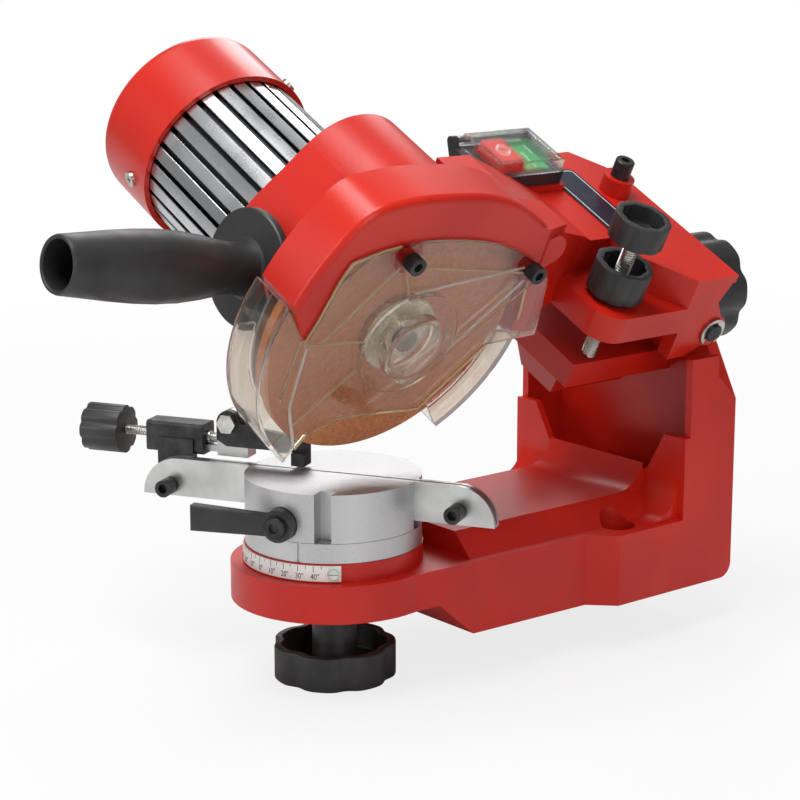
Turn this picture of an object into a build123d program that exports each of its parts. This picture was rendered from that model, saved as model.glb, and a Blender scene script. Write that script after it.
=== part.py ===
from build123d import *
from math import cos, pi, radians, sin, sqrt
import os

# Bench-mounted electric saw-chain sharpener.
# Origin: on the bench surface, midway between the two bench bolts. +X right, +Y back, +Z up.
# The working parts are laid out from the vise axis, which stands in front of the bench edge.
# Lengths are millimetres and angles are degrees.

os.makedirs("parts", exist_ok=True)

# ---- layout ----
reach = 150.0              # bench bolts to the vise axis
swivel_rest = 30.0         # vise angle on the scale
tilt_rest = 26.5           # grinding head angle about the tilt axis
tilt_x = 15.0              # tilt axis to the right of the vise axis
tilt_z = 150.0             # tilt axis above the bench
over = 1.0                 # how far a cutting shape runs past the face it cuts
fit = 0.05                 # radial clearance of a running fit
seat_gap = 0.2             # gap between flat faces that slide on each other
free_gap = 0.4             # gap between pieces that move past each other
wall = 4.5                 # casting wall

# ---- base casting ----
table_radius = 51.8
table_under = 18.9         # underside of the front table above the bench
table_top = 37.8
ramp_front = 26.9          # underside ramp that meets the bench edge
ramp_rear = 48.6
neck_front_half = 50.2
neck_rear_half = 53.5
flare_front = 123.9
base_half = 65.8
base_rear = 221.0
base_corner_radius = 8.0
hump_front = 49.0
hump_base_half = 49.0
hump_top_half = 36.0
hump_top = 50.0
sweep_radius = 20.0        # hollow curve from the hump up into the column
column_front = 183.0
lip_thickness = 4.0
lip_top = 82.0
notch_low = 59.0           # lowest point of the opening in the column's front lip
notch_low_half = 37.0
notch_high_half = 51.0
shoulder_z = 99.0          # where the column starts to narrow towards the back
wing_rear = 207.0
wing_top = 124.0
back_wall = 8.0
back_shoulder_half = 50.0
back_eye_radius = 21.0     # rounded top of the back wall around the tilt bore
collar_radius = 44.9
collar_top = 47.0
pocket_front = 62.0        # hollow underside, from here back
pocket_roof = 5.0
rib_thickness = 5.0
bench_bolt_half = 50.0     # half the distance between the bench bolts
bench_bolt_radius = 4.5
bench_boss_radius = 13.0
bolt_seat_radius = 9.5
bolt_seat_z = 16.0

# ---- vise ----
vise_radius = 44.3
vise_top = 81.4
vise_base_top = 57.0
spigot_radius = 20.0
spigot_length = 6.0
stud_radius = 6.0
stud_top = 52.0
jaw_travel = 1.2
rail_thickness = 2.5
chain_slot = 1.6           # width of the slot that the chain's drive links hang in
rail_bottom = 61.8
rail_top = 81.4
rail_left = -104.0
rail_right = 86.0
rail_end_radius = 19.4
rail_screw_radius = 3.0
rail_screw_head = 4.4
rail_screw_head_length = 7.0
rail_screw_left = (-89.0, 67.0)
rail_screw_right = (67.0, 68.5)
rail_spacer_length = 6.0
pointer_width = 1.4
pointer_depth = 0.8
jaw_slot_left = 8.0        # upright slot in the front of the jaw
jaw_slot_width = 8.0
jaw_slot_depth = 9.0

# ---- scale plate on the collar ----
scale_thickness = 0.7
scale_bottom = 38.6
scale_height = 7.8
scale_half_angle = 57.0
scale_screw_angle = 52.0
scale_screw_radius = 1.5
scale_screw_length = 5.0
scale_head_radius = 2.6
scale_head_height = 1.3

# ---- clamp lever ----
lever_across = -9.0
lever_z = 65.5
lever_seat = 41.5          # flat on the jaw, distance from the chain plane
lever_hub_radius = 8.0
lever_hub_length = 9.0
lever_arm_length = 46.0
lever_arm_width = 10.0
lever_arm_tip_width = 13.0
lever_arm_thickness = 6.0
lever_screw_radius = 4.0
lever_screw_head = 5.5
lever_screw_head_length = 3.0
lever_screw_end = 14.0     # how far the clamp screw reaches behind the chain plane

# ---- clamp knob under the table ----
clamp_knob_radius = 31.5
clamp_knob_lobes = 7
clamp_scallop_radius = 9.0
clamp_rim_top = -6.0
clamp_rim_bottom = -24.0
clamp_wall = 5.0
clamp_hub_radius = 11.5
clamp_washer_radius = 13.5
clamp_washer_thickness = 2.0
clamp_stud_bottom = -18.0

# ---- chain stop ----
stop_axis_z = 90.5
stop_axis_back = 11.5      # distance behind the chain plane
stop_housing_left = -106.0
stop_housing_right = -74.0
stop_housing_depth = 14.0
stop_housing_bottom = 82.2
stop_housing_top = 98.0
stop_foot_bottom = 62.5
stop_foot_left = -99.0
stop_foot_width = 20.0
stop_foot_thickness = 5.0
stop_screw_radius = 2.5
stop_screw_left = -124.0
stop_screw_right = -58.0
stop_collar_radius = 3.3
stop_collar_width = 1.8
stop_bar_width = 6.0       # guide bar of the slider
stop_bar_height = 3.2
stop_bar_z = 85.4
stop_bar_left = -96.0
stop_knob_radius = 12.8
stop_knob_left = -142.0
stop_knob_right = -121.0
stop_knob_lobes = 8
stop_slide_left = -67.0
stop_slide_right = -50.0
stop_slide_top = 95.0
stop_slide_depth = 10.0
stop_tab_left = -56.0      # upright tab behind the pawl
stop_tab_right = -46.0
stop_tab_top = 106.0
stop_tab_thickness = 2.5
stop_travel = 3.0
pawl_pivot_across = -59.0
pawl_pivot_z = 100.5
pawl_front_back = 3.5      # front face of the pawl behind the chain plane
pawl_thickness = 3.8
pawl_low = 88.5
pawl_tip_across = -15.0
pawl_finger = 7.0
pawl_finger_low = 83.0
pawl_finger_reach = 5.5
pawl_bolt_radius = 3.0
pawl_eye_radius = 6.5
pawl_bolt_head = 5.2
pawl_bolt_head_height = 3.0
pawl_ear_thickness = 5.0
pawl_nut_height = 3.5

# ---- tilting bracket ----
hinge_y = 201.0            # hinge pin behind the vise axis
hinge_w = 11.5             # hinge pin above the tilt axis, in the tilted frame
hinge_pin_radius = 5.0
hinge_barrel_radius = 10.5
lug_inner = 42.0
lug_outer = 50.0
pin_overhang = 3.2
clip_thickness = 1.2
clip_radius = 8.0
bracket_half = 32.0
bracket_front = 127.5
bracket_rear = 205.0
bracket_top = -12.0
bracket_bottom = -26.5
keel_half = 20.0
keel_bottom = -46.0
keel_front = 134.0
keel_rear = 200.0
keel_taper = 20.0
web_front = 191.0
web_rear = 211.0
web_right = 30.0
barrel_left = -22.0        # the lift spring sits on the pin left of the barrel
tilt_boss_radius = 20.0
tilt_stud_radius = 6.0
tilt_stud_front = 206.5
tilt_stud_rear = 243.0
spring_u = -34.0           # front leg of the lift spring, under its setting screw
spring_radius = 6.6
spring_wire = 1.6
spring_turns = 4.25
spring_leg_front = 181.0
spring_leg_low = -8.0
spacer_radius = 8.0

# ---- rear tilt knob ----
tilt_knob_radius = 30.0
tilt_knob_depth = 24.0
tilt_knob_lobes = 7
tilt_scallop_radius = 10.0
tilt_knob_hub_radius = 12.0
tilt_knob_hub_length = 4.0
tilt_washer_radius = 14.0
tilt_washer_thickness = 2.0
tilt_knob_wall = 5.0

# ---- grinding wheel and its shaft, in the tilted frame ----
wheel_radius = 72.5
wheel_thickness = 4.5
wheel_bore_radius = 11.15
wheel_u = 12.6             # wheel's middle plane to the right of the tilt axis
wheel_y = 7.0
wheel_w = 19.4
shaft_radius = 6.0
flange_radius = 24.0
flange_thickness = 4.6
outer_flange_radius = 20.0
outer_flange_thickness = 4.0
nut_across = 19.0
nut_height = 7.0
shaft_end = 27.5

# ---- wheel hood and motor mount ----
hood_left = -2.0
hood_right = 26.6
hood_wall = 4.0
hood_cavity_radius = 75.0
hood_rear_y = 98.0
hood_edge_radius = 3.5
# outer profile of the hood from above the front of its mouth over the top, as (y, w)
hood_curve = (
    (-66.0, 46.8), (-59.5, 64.0), (-51.8, 78.0), (-44.2, 88.9), (-36.0, 95.6), (-24.7, 98.5),
    (-7.7, 99.9), (10.5, 99.2), (29.6, 97.3), (51.0, 91.1), (67.7, 81.9), (79.2, 73.7),
)
# edge between the hood's right face and the clear guard
guard_edge = (
    (-55.8, 27.0), (-51.3, 39.4), (-45.9, 60.9), (-42.1, 69.7), (-27.4, 74.0), (-16.4, 75.9),
    (1.2, 76.6), (26.6, 74.1), (47.3, 69.4), (62.9, 62.9), (75.9, 55.4), (86.4, 46.3),
    (89.2, 43.0), (91.9, 27.4), (94.0, 14.8), (94.3, 9.2),
)
guard_curve_from = 3       # points of that edge between which it is one smooth curve
guard_curve_to = 11
# lower edge of the clear guard from behind its tip to the rear
guard_lower = (
    (-41.0, -37.0), (-36.0, -29.0), (-19.0, -22.0), (31.0, -26.0), (36.0, -20.0), (62.0, 8.0),
)
motor_mount_radius = 50.0
motor_mount_left = -60.0
dome_radius = 37.0
dome_y = 18.4
dome_w = 54.0
bearing_hub_radius = 22.0
bearing_radius = 16.0
bearing_width = 10.0
bearing_left = -16.0

# ---- arm between hood and hinge ----
neck_rear_y = 129.0
neck_crest_y = 79.0
neck_crest_w = 74.0
deck_top = 46.5
deck_left = -74.0
deck_front_left = 96.0
deck_rear = 204.0
deck_edge_u = 5.0
deck_step_u = 24.0
deck_step_y = 155.0
deck_end_y = 174.5
deck_thickness = 4.5
arm_bottom = 14.0
arm_left = -42.0
arm_front = 58.0
neck_right_rear_u = 5.0
neck_foot_y = 136.0
switch_box_low = 22.0
switch_box_wall = 4.0
left_pocket_right = -9.5
left_pocket_front = 66.0
pocket_rear = 184.0
right_pocket_left = -5.0
right_pocket_front = 104.0
shelf_right = 50.0
shelf_left = -5.0
shelf_front = 118.0
shelf_top = 29.0
shelf_rear = 188.0
shelf_corner = 14.0
lug_front_y = 175.0
lug_bottom = -3.0
lug_ear_radius = 9.5
lug_waist_y = 197.0
lug_waist_w = 30.0
plinth_top = 50.0          # raised seat under the switch

# ---- handle ----
handle_u = -31.5
handle_y = -46.7           # centre of the handle's mounting face
handle_w = 27.9
handle_rise = 8.3          # how much the handle points up in the tilted frame
handle_boss_radius = 15.0
handle_boss_length = 14.0
handle_flange_radius = 29.0
handle_flange_thickness = 5.0
handle_neck_radius = 13.5
handle_neck_at = 18.0
handle_swell_radius = 20.0
handle_swell_at = 55.0
handle_end_radius = 16.6
handle_length = 112.0
handle_bore_radius = 13.6
handle_bore_depth = 58.0
handle_stud_radius = 5.0
handle_stud_reach = 36.0

# ---- motor ----
housing_tube_radius = 43.0
housing_tube_wall = 2.6
fin_height = 3.0
housing_radius = housing_tube_radius + fin_height
housing_left = -152.0
fin_count = 30
fin_thickness = 2.2
cap_left = -180.3
cap_right = -135.7
cap_wall = 2.8
cap_room = 0.4             # between the fins and the end cap
cap_radius = housing_radius + cap_room + cap_wall
cap_edge_radius = 6.0
cap_screw_radius = 2.0
cap_screw_head = 4.0
cap_screw_u = -148.0
cap_screw_angles = (198.0, 43.0, 300.0)
stator_left = -128.0
stator_right = -72.0
stator_bore = 24.0
rotor_radius = 23.5
rotor_left = -126.0
rotor_right = -74.0
rear_bearing_radius = 13.0
rear_bearing_width = 9.0
fan_radius = 36.0
fan_hub_radius = 11.0
fan_blades = 9
fan_width = 10.0
winding_overhang = 7.0
winding_room = 3.4         # between the windings and the tube
winding_build = 10.0
winding_outer = housing_tube_radius - housing_tube_wall - winding_room
winding_inner = winding_outer - winding_build
cap_hub_radius = 17.0
cap_vents = 14
cap_vent_inner = 21.0
cap_vent_outer = 40.0
cap_vent_width = 4.0
flange_ring_width = 8.0
capacitor_radius = 14.0
capacitor_length = 40.0
capacitor_left = -50.0
capacitor_web_left = -34.0
mount_wall = 4.5
shaft_hole_radius = 9.0

# ---- clear guard ----
guard_thickness = 2.5
guard_proud = 0.8          # outer face of the guard beyond the hood's right face
guard_band_radius = 83.0
guard_band_wall = 2.0
guard_band_left = 0.0
guard_band_from = 160.0    # degrees about the wheel axis
guard_band_to = 231.0
guard_cheek_inner = 71.0
guard_cheek_from = 178.0
boss_radius = 28.0
boss_front = 38.0
boss_nose_radius = 18.0
guard_screw_a = (-8.6, 68.0)
guard_screw_b = (73.4, 52.4)
guard_tab_radius = 8.0
guard_screw_radius = 2.5
guard_screw_head = 4.6
guard_screw_head_length = 6.0
guard_rib = 1.6
guard_boss_height = 4.0
guard_boss_bore = 15.0
guard_rib_angles = (20.0, 65.0, 110.0, 155.0, 200.0, 245.0)
guard_arm_half = 9.0
tab_left = 20.5            # screw tabs on the hood's rim
tab_shift = 16.0
crescent_inner = 62.0
crescent_outer = 80.0
crescent_from = -54.0      # degrees about the wheel axis
crescent_wall = 2.0
plate_thickness = 1.5
plate_radius = 70.0
plate_low = -24.0
plate_bore = 27.0

# ---- switch ----
switch_left = -74.0
switch_right = -42.0
switch_front = 99.0
switch_rear = 153.0
switch_height = 7.0
switch_corner = 2.5
contact_top = 44.0
button_flange = 1.2
button_flange_height = 2.6
button_stem_low = 46.9
button_left = -68.5
button_right = -47.5
off_front = 112.0
off_rear = 126.0
off_top = 62.5
on_front = 128.5
on_rear = 145.0
on_top = 57.5
button_gap = 0.4
flap_wall = 1.2
flap_clear = 1.6
flap_front = 104.0
flap_rear = 149.0
flap_pin_u = -76.8
flap_pin_w = 58.8
flap_pin_radius = 1.5
flap_barrel_radius = 2.5
flap_ear_half = 2.6
flap_ear_length = 3.5

# ---- label plate and limit screw on the deck ----
label_left = -57.5
label_right = 2.0
label_front = 154.5
label_rear = 174.5
label_thickness = 0.6
label_corner = 4.0
limit_u = -34.0
limit_y = 186.0
limit_boss_radius = 8.5
limit_boss_top = 56.0
limit_screw_radius = 3.0
limit_head_radius = 5.2
limit_head_height = 10.0
limit_socket_radius = 2.6

# ---- depth stop ----
depth_u = 30.0
depth_y = 137.5
depth_radius = 4.0
depth_bottom = -8.2
depth_top = 66.0
depth_knob_bottom = 59.0
depth_knob_top = 77.0
depth_knob_radius = 14.8
lock_top = 49.0
lock_radius = 15.4
lock_collar_radius = 11.0
lock_collar_height = 3.0
small_knob_lobes = 8
small_knob_wall = 3.4

# ---- planes ----
vise_y = -reach
swivel = radians(swivel_rest)
tilt = radians(tilt_rest)
rise = radians(handle_rise)
right_dir = (cos(tilt), 0, -sin(tilt))
up_dir = (sin(tilt), 0, cos(tilt))
head_origin = (tilt_x, vise_y, tilt_z)

# Untilted planes with the vise axis as origin: from above, from the right, from the front.
bench = Plane(origin=(0, vise_y, 0))
side = Plane(origin=(0, vise_y, 0), x_dir=(0, 1, 0), z_dir=(1, 0, 0))
front = Plane(origin=(0, vise_y, 0), x_dir=(1, 0, 0), z_dir=(0, -1, 0))
# Planes that turn with the vise: from above, and from the front of the chain plane.
turned = Plane(origin=(0, vise_y, 0), x_dir=(cos(swivel), sin(swivel), 0))
chain = Plane(
    origin=(0, vise_y, 0),
    x_dir=(cos(swivel), sin(swivel), 0),
    z_dir=(sin(swivel), -cos(swivel), 0),
)
# The chain rails seen from their left end, for pieces that run along them.
along = Plane(
    origin=(0, vise_y, 0),
    x_dir=(-sin(swivel), cos(swivel), 0),
    z_dir=(cos(swivel), sin(swivel), 0),
)
# Planes that tilt with the head: from the right (y, w), from above (u, y), from the front (u, w).
across = Plane(origin=head_origin, x_dir=(0, 1, 0), z_dir=right_dir)
deck = Plane(origin=head_origin, x_dir=right_dir, z_dir=up_dir)
facing = Plane(origin=head_origin, x_dir=right_dir, z_dir=(0, -1, 0))

rear_rail_face = chain_slot / 2 + rail_thickness
wheel_at = (wheel_y, wheel_w)
hinge_at = (hinge_y, hinge_w)


def head_point(u, y, w):
    """A point given in the tilted frame, in the part's own frame."""
    return (
        tilt_x + u * cos(tilt) + w * sin(tilt),
        vise_y + y,
        tilt_z - u * sin(tilt) + w * cos(tilt),
    )


def chain_point(run, depth, height):
    """A point along the rails, behind the chain plane and above the bench."""
    return (
        run * cos(swivel) - depth * sin(swivel),
        vise_y + run * sin(swivel) + depth * cos(swivel),
        height,
    )


def circle_point(centre, radius, angle):
    """A point on a circle, the angle in degrees."""
    return (
        centre[0] + radius * cos(radians(angle)),
        centre[1] + radius * sin(radians(angle)),
    )


# ---- base casting ----
shoulder_run = base_rear - wing_rear
wing_front = column_front + lip_thickness
back_inner = base_rear - back_wall
flare_rear = flare_front + base_half - neck_rear_half
tilt_bore = tilt_stud_radius + fit
with BuildPart() as base_casting:
    with BuildSketch(bench):
        Circle(table_radius)
        with BuildLine():
            Polyline(
                (-neck_front_half, 0),
                (-neck_rear_half, flare_front),
                (-base_half, flare_rear),
                (-base_half, base_rear),
                (base_half, base_rear),
                (base_half, flare_rear),
                (neck_rear_half, flare_front),
                (neck_front_half, 0),
                close=True,
            )
        make_face()
    extrude(amount=table_top)
    # underside step and ramp in front of the bench edge
    with BuildSketch(side):
        with BuildLine():
            Polyline(
                (-table_radius - over, -over),
                (-table_radius - over, table_under),
                (ramp_front, table_under),
                (ramp_rear, 0),
                (ramp_rear, -over),
                close=True,
            )
        make_face()
    extrude(amount=base_half, both=True, mode=Mode.SUBTRACT)
    # hump that carries the column's load forward
    with BuildSketch(front.offset(-hump_front)):
        with BuildLine():
            Polyline(
                (-hump_base_half, table_top - over),
                (-hump_top_half, hump_top),
                (hump_top_half, hump_top),
                (hump_base_half, table_top - over),
                close=True,
            )
        make_face()
    extrude(amount=-(wing_front - hump_front))
    # column: front lip, side wings and narrowed top
    with BuildSketch(side):
        with BuildLine():
            Polyline(
                (column_front, table_top - over),
                (base_rear, table_top - over),
                (base_rear, shoulder_z),
                (wing_rear, shoulder_z + shoulder_run),
                (wing_rear, wing_top),
                (wing_front, wing_top),
                (wing_front, lip_top),
                (column_front, lip_top),
                close=True,
            )
        make_face()
    extrude(amount=base_half, both=True)
    # hollow curves from the hump and from the flanks into the column
    for floor_z, half_width in ((hump_top, hump_top_half), (table_top, base_half - wall)):
        with BuildSketch(side):
            with BuildLine():
                foot = (column_front - sweep_radius, floor_z)
                head = (column_front, floor_z + sweep_radius)
                centre = (column_front - sweep_radius, floor_z + sweep_radius)
                ThreePointArc(foot, circle_point(centre, sweep_radius, -45), head)
                Polyline(
                    head,
                    (column_front + over, floor_z + sweep_radius),
                    (column_front + over, floor_z - over),
                    (column_front - sweep_radius, floor_z - over),
                    foot,
                )
            make_face()
        extrude(amount=half_width, both=True)
    # cavity of the column, open to the front above the lip
    with BuildSketch(side):
        with BuildLine():
            Polyline(
                (wing_front, table_top),
                (back_inner, table_top),
                (back_inner, wing_top + over),
                (wing_front - over, wing_top + over),
                (wing_front - over, lip_top),
                (wing_front, lip_top),
                close=True,
            )
        make_face()
    extrude(amount=base_half - wall, both=True, mode=Mode.SUBTRACT)
    with BuildSketch(front.offset(-wing_front)):
        with BuildLine():
            Polyline(
                (-notch_high_half, lip_top + over),
                (-notch_low_half, notch_low),
                (notch_low_half, notch_low),
                (notch_high_half, lip_top + over),
                close=True,
            )
        make_face()
        fillet(vertices().group_by(Axis.Y)[0], radius=notch_low_half / 4)
    extrude(amount=lip_thickness + over, mode=Mode.SUBTRACT)
    # back wall with the tilt bore
    with BuildSketch(front.offset(-back_inner)):
        with BuildLine():
            Polyline(
                (-base_half, table_top),
                (-base_half, shoulder_z),
                (-back_shoulder_half, shoulder_z + shoulder_run),
                (back_shoulder_half, shoulder_z + shoulder_run),
                (base_half, shoulder_z),
                (base_half, table_top),
                close=True,
            )
            CenterArc((tilt_x, tilt_z), back_eye_radius, 0, 360)
        make_hull()
    extrude(amount=-back_wall)
    with BuildSketch(front.offset(-back_inner + over)):
        with Locations((tilt_x, tilt_z)):
            Circle(tilt_bore)
    extrude(amount=-(back_wall + 2 * over), mode=Mode.SUBTRACT)
    # hollow underside with a rib and the bolt bosses left standing
    with BuildSketch(bench):
        with BuildLine():
            Polyline(
                (-(neck_front_half - wall), pocket_front),
                (-(neck_rear_half - wall), flare_front),
                (-(base_half - wall), flare_rear),
                (-(base_half - wall), base_rear - back_wall),
                (base_half - wall, base_rear - back_wall),
                (base_half - wall, flare_rear),
                (neck_rear_half - wall, flare_front),
                (neck_front_half - wall, pocket_front),
                close=True,
            )
        make_face()
    extrude(amount=table_top - pocket_roof, mode=Mode.SUBTRACT)
    with BuildSketch(bench):
        with Locations((0, (pocket_front + base_rear) / 2)):
            Rectangle(rib_thickness, base_rear - pocket_front)
        with Locations((0, reach)):
            Rectangle(2 * bench_bolt_half, rib_thickness)
        with Locations((-bench_bolt_half, reach), (bench_bolt_half, reach)):
            Circle(bench_boss_radius)
        with BuildLine():
            Polyline(
                (-base_half, flare_rear),
                (-base_half, base_rear),
                (base_half, base_rear),
                (base_half, flare_rear),
                (neck_rear_half, flare_front),
                (neck_front_half, 0),
                (-neck_front_half, 0),
                (-neck_rear_half, flare_front),
                close=True,
            )
        make_face(mode=Mode.INTERSECT)
    extrude(amount=table_top - pocket_roof)
    with BuildSketch(bench.offset(bolt_seat_z)):
        with Locations((-bench_bolt_half, reach), (bench_bolt_half, reach)):
            Circle(bolt_seat_radius)
    extrude(amount=hump_top, mode=Mode.SUBTRACT)
    with BuildSketch(bench):
        with Locations((-bench_bolt_half, reach), (bench_bolt_half, reach)):
            Circle(bench_bolt_radius)
    extrude(amount=table_top, mode=Mode.SUBTRACT)
    # collar that the vise turns on, its spigot seat and the stud bore
    with BuildSketch(bench.offset(table_top)):
        Circle(vise_radius + 2 * over)
    extrude(amount=vise_top, mode=Mode.SUBTRACT)
    with BuildSketch(bench.offset(table_top)):
        Circle(collar_radius)
    extrude(amount=collar_top - table_top)
    with BuildSketch(bench.offset(collar_top)):
        Circle(spigot_radius)
    extrude(amount=-(spigot_length + seat_gap), mode=Mode.SUBTRACT)
    with BuildSketch(bench):
        Circle(stud_radius + fit)
    extrude(amount=vise_top, mode=Mode.SUBTRACT)
    # holes for the scale plate's screws
    for angle in (-scale_screw_angle, scale_screw_angle):
        turn = radians(angle)
        outward = (sin(turn), -cos(turn), 0)
        start = (collar_radius + over) * Vector(*outward)
        middle_z = scale_bottom + scale_height / 2
        hole = Plane(origin=(start.X, vise_y + start.Y, middle_z), z_dir=outward)
        with BuildSketch(hole):
            Circle(scale_screw_radius)
        extrude(amount=-(scale_screw_length + over), mode=Mode.SUBTRACT)
    # rounded bottom corner at the back
    corner_centre = (base_rear - base_corner_radius, base_corner_radius)
    with BuildSketch(side):
        with BuildLine():
            corner_foot = (base_rear - base_corner_radius, 0)
            corner_back = (base_rear, base_corner_radius)
            ThreePointArc(
                corner_foot,
                circle_point(corner_centre, base_corner_radius, -45),
                corner_back,
            )
            Polyline(
                corner_back,
                (base_rear + over, base_corner_radius),
                (base_rear + over, -over),
                (base_rear - base_corner_radius, -over),
                corner_foot,
            )
        make_face()
    extrude(amount=base_half + over, both=True, mode=Mode.SUBTRACT)
base_casting.part.label = "base_casting"
export_step(base_casting.part, "parts/base_casting.step")

# ---- scale plate on the collar, with its two screws ----
scale_outer = collar_radius + scale_thickness
scale_middle_z = scale_bottom + scale_height / 2
with BuildPart() as scale_plate:
    with BuildSketch(bench.offset(scale_bottom)):
        with BuildLine():
            CenterArc((0, 0), scale_outer, -90 - scale_half_angle, 2 * scale_half_angle)
            CenterArc((0, 0), collar_radius, -90 - scale_half_angle, 2 * scale_half_angle)
            for end in (-90 - scale_half_angle, -90 + scale_half_angle):
                Line(
                    circle_point((0, 0), collar_radius, end),
                    circle_point((0, 0), scale_outer, end),
                )
        make_face()
    extrude(amount=scale_height)
    for angle in (-scale_screw_angle, scale_screw_angle):
        turn = radians(angle)
        outward = (sin(turn), -cos(turn), 0)
        start = (scale_outer + over) * Vector(*outward)
        with BuildSketch(Plane(origin=(start.X, vise_y + start.Y, scale_middle_z), z_dir=outward)):
            Circle(scale_screw_radius)
        extrude(amount=-2 * scale_thickness - over, mode=Mode.SUBTRACT)
scale_plate.part.label = "scale_plate"
export_step(scale_plate.part, "parts/scale_plate.step")

with BuildPart() as scale_screws:
    for angle in (-scale_screw_angle, scale_screw_angle):
        turn = radians(angle)
        outward = (sin(turn), -cos(turn), 0)
        start = (scale_outer + scale_head_height) * Vector(*outward)
        screw_end = Plane(origin=(start.X, vise_y + start.Y, scale_middle_z), z_dir=outward)
        with BuildSketch(screw_end):
            Circle(scale_head_radius)
        extrude(amount=-scale_head_height)
        with BuildSketch(screw_end):
            Circle(scale_screw_radius)
        extrude(amount=-(scale_head_height + scale_screw_length))
        with BuildSketch(screw_end):
            Rectangle(2 * scale_head_radius, scale_screw_radius / 2)
        extrude(amount=-scale_head_height / 2, mode=Mode.SUBTRACT)
scale_screws.part.label = "scale_screws"
export_step(scale_screws.part, "parts/scale_screws.step")

# ---- vise: body with the rear half, front jaw, rails ----
vise_bottom = collar_top + seat_gap
jaw_bottom = vise_base_top + seat_gap
lever_at = (lever_across, lever_z)
with BuildPart() as vise_body:
    with BuildSketch(bench.offset(vise_bottom)):
        Circle(vise_radius)
    extrude(amount=vise_top - vise_bottom)
    with BuildSketch(bench.offset(vise_bottom)):
        Circle(spigot_radius - fit)
    extrude(amount=-spigot_length)
    # room for the jaw and both rails in front of the fixed half
    with BuildSketch(turned.offset(vise_base_top)):
        with Locations((0, rear_rail_face / 2 - vise_radius)):
            Rectangle(3 * vise_radius, 2 * vise_radius + rear_rail_face)
    extrude(amount=vise_top, mode=Mode.SUBTRACT)
    with BuildSketch(bench.offset(vise_bottom - spigot_length - over)):
        Circle(stud_radius)
    extrude(amount=stud_top - vise_bottom + spigot_length + over, mode=Mode.SUBTRACT)
    # hole that the clamp screw pulls on
    with BuildSketch(chain.offset(-rear_rail_face + over)):
        with Locations(lever_at):
            Circle(lever_screw_radius + fit)
    extrude(amount=-(lever_screw_end - rear_rail_face + 2 * over), mode=Mode.SUBTRACT)
    # pointer groove against the scale
    with BuildSketch(turned.offset(vise_bottom - over)):
        with Locations((0, -vise_radius)):
            Rectangle(pointer_width, 2 * pointer_depth)
    extrude(amount=vise_base_top - vise_bottom + 2 * over, mode=Mode.SUBTRACT)
vise_body.part.label = "vise_body"
export_step(vise_body.part, "parts/vise_body.step")

with BuildPart() as front_jaw:
    with BuildSketch(turned.offset(jaw_bottom)):
        Circle(vise_radius)
        with Locations((0, vise_radius - rear_rail_face)):
            Rectangle(3 * vise_radius, 2 * vise_radius, mode=Mode.SUBTRACT)
    extrude(amount=vise_top - jaw_bottom)
    # upright slot in the front face
    with BuildSketch(turned.offset(jaw_bottom - over)):
        with Locations((jaw_slot_left + jaw_slot_width / 2, -vise_radius)):
            Rectangle(jaw_slot_width, 2 * jaw_slot_depth)
    extrude(amount=vise_top, mode=Mode.SUBTRACT)
    # flat seat and clearance hole for the clamp lever
    with BuildSketch(chain.offset(lever_seat)):
        with Locations(lever_at):
            Circle(lever_hub_radius + free_gap)
    extrude(amount=vise_radius, mode=Mode.SUBTRACT)
    with BuildSketch(chain):
        with Locations(lever_at):
            Circle(lever_screw_radius + free_gap)
    extrude(amount=vise_radius, mode=Mode.SUBTRACT)
front_jaw.part.label = "front_jaw"
export_step(front_jaw.part, "parts/front_jaw.step")

rail_screws_at = (rail_screw_left, rail_screw_right)
rail_length = rail_right - rail_left
rail_height = rail_top - rail_bottom
rail_middle = (rail_left + rail_length / 2, rail_bottom + rail_height / 2)
with BuildPart() as rear_rail:
    with BuildSketch(chain.offset(-rear_rail_face)):
        with Locations(rail_middle):
            Rectangle(rail_length, rail_height)
        fillet(vertices().group_by(Axis.Y)[-1], radius=rail_end_radius)
        with Locations(*rail_screws_at):
            Circle(rail_screw_radius, mode=Mode.SUBTRACT)
        with Locations(lever_at):
            Circle(lever_screw_radius + free_gap, mode=Mode.SUBTRACT)
    extrude(amount=rail_thickness)
rear_rail.part.label = "rear_rail"
export_step(rear_rail.part, "parts/rear_rail.step")

with BuildPart() as front_rail:
    with BuildSketch(chain.offset(chain_slot / 2)):
        with Locations(rail_middle):
            Rectangle(rail_length, rail_height)
        fillet(vertices().group_by(Axis.Y)[-1], radius=rail_end_radius)
        with Locations(*rail_screws_at):
            Circle(rail_screw_radius + free_gap, mode=Mode.SUBTRACT)
        with Locations(lever_at):
            Circle(lever_screw_radius + free_gap, mode=Mode.SUBTRACT)
    extrude(amount=rail_thickness)
front_rail.part.label = "front_rail"
export_step(front_rail.part, "parts/front_rail.step")

with BuildPart() as rail_screws:
    head_start = rear_rail_face + jaw_travel + free_gap
    for screw_at in rail_screws_at:
        with BuildSketch(chain.offset(head_start)):
            with Locations(screw_at):
                Circle(rail_screw_head)
        extrude(amount=rail_screw_head_length)
        with BuildSketch(chain.offset(head_start)):
            with Locations(screw_at):
                Circle(rail_screw_radius)
        extrude(amount=-(head_start + rear_rail_face))
        # nut behind the rear rail
        if screw_at is rail_screw_right:
            with BuildSketch(chain.offset(-rear_rail_face)):
                with Locations(screw_at):
                    RegularPolygon(rail_screw_head * 1.2, 6)
            extrude(amount=-rail_spacer_length / 2)
        with BuildSketch(chain.offset(head_start + rail_screw_head_length)):
            with Locations(screw_at):
                RegularPolygon(rail_screw_radius * 0.9, 6)
        extrude(amount=-rail_screw_head_length / 2, mode=Mode.SUBTRACT)
rail_screws.part.label = "rail_screws"
export_step(rail_screws.part, "parts/rail_screws.step")

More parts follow.
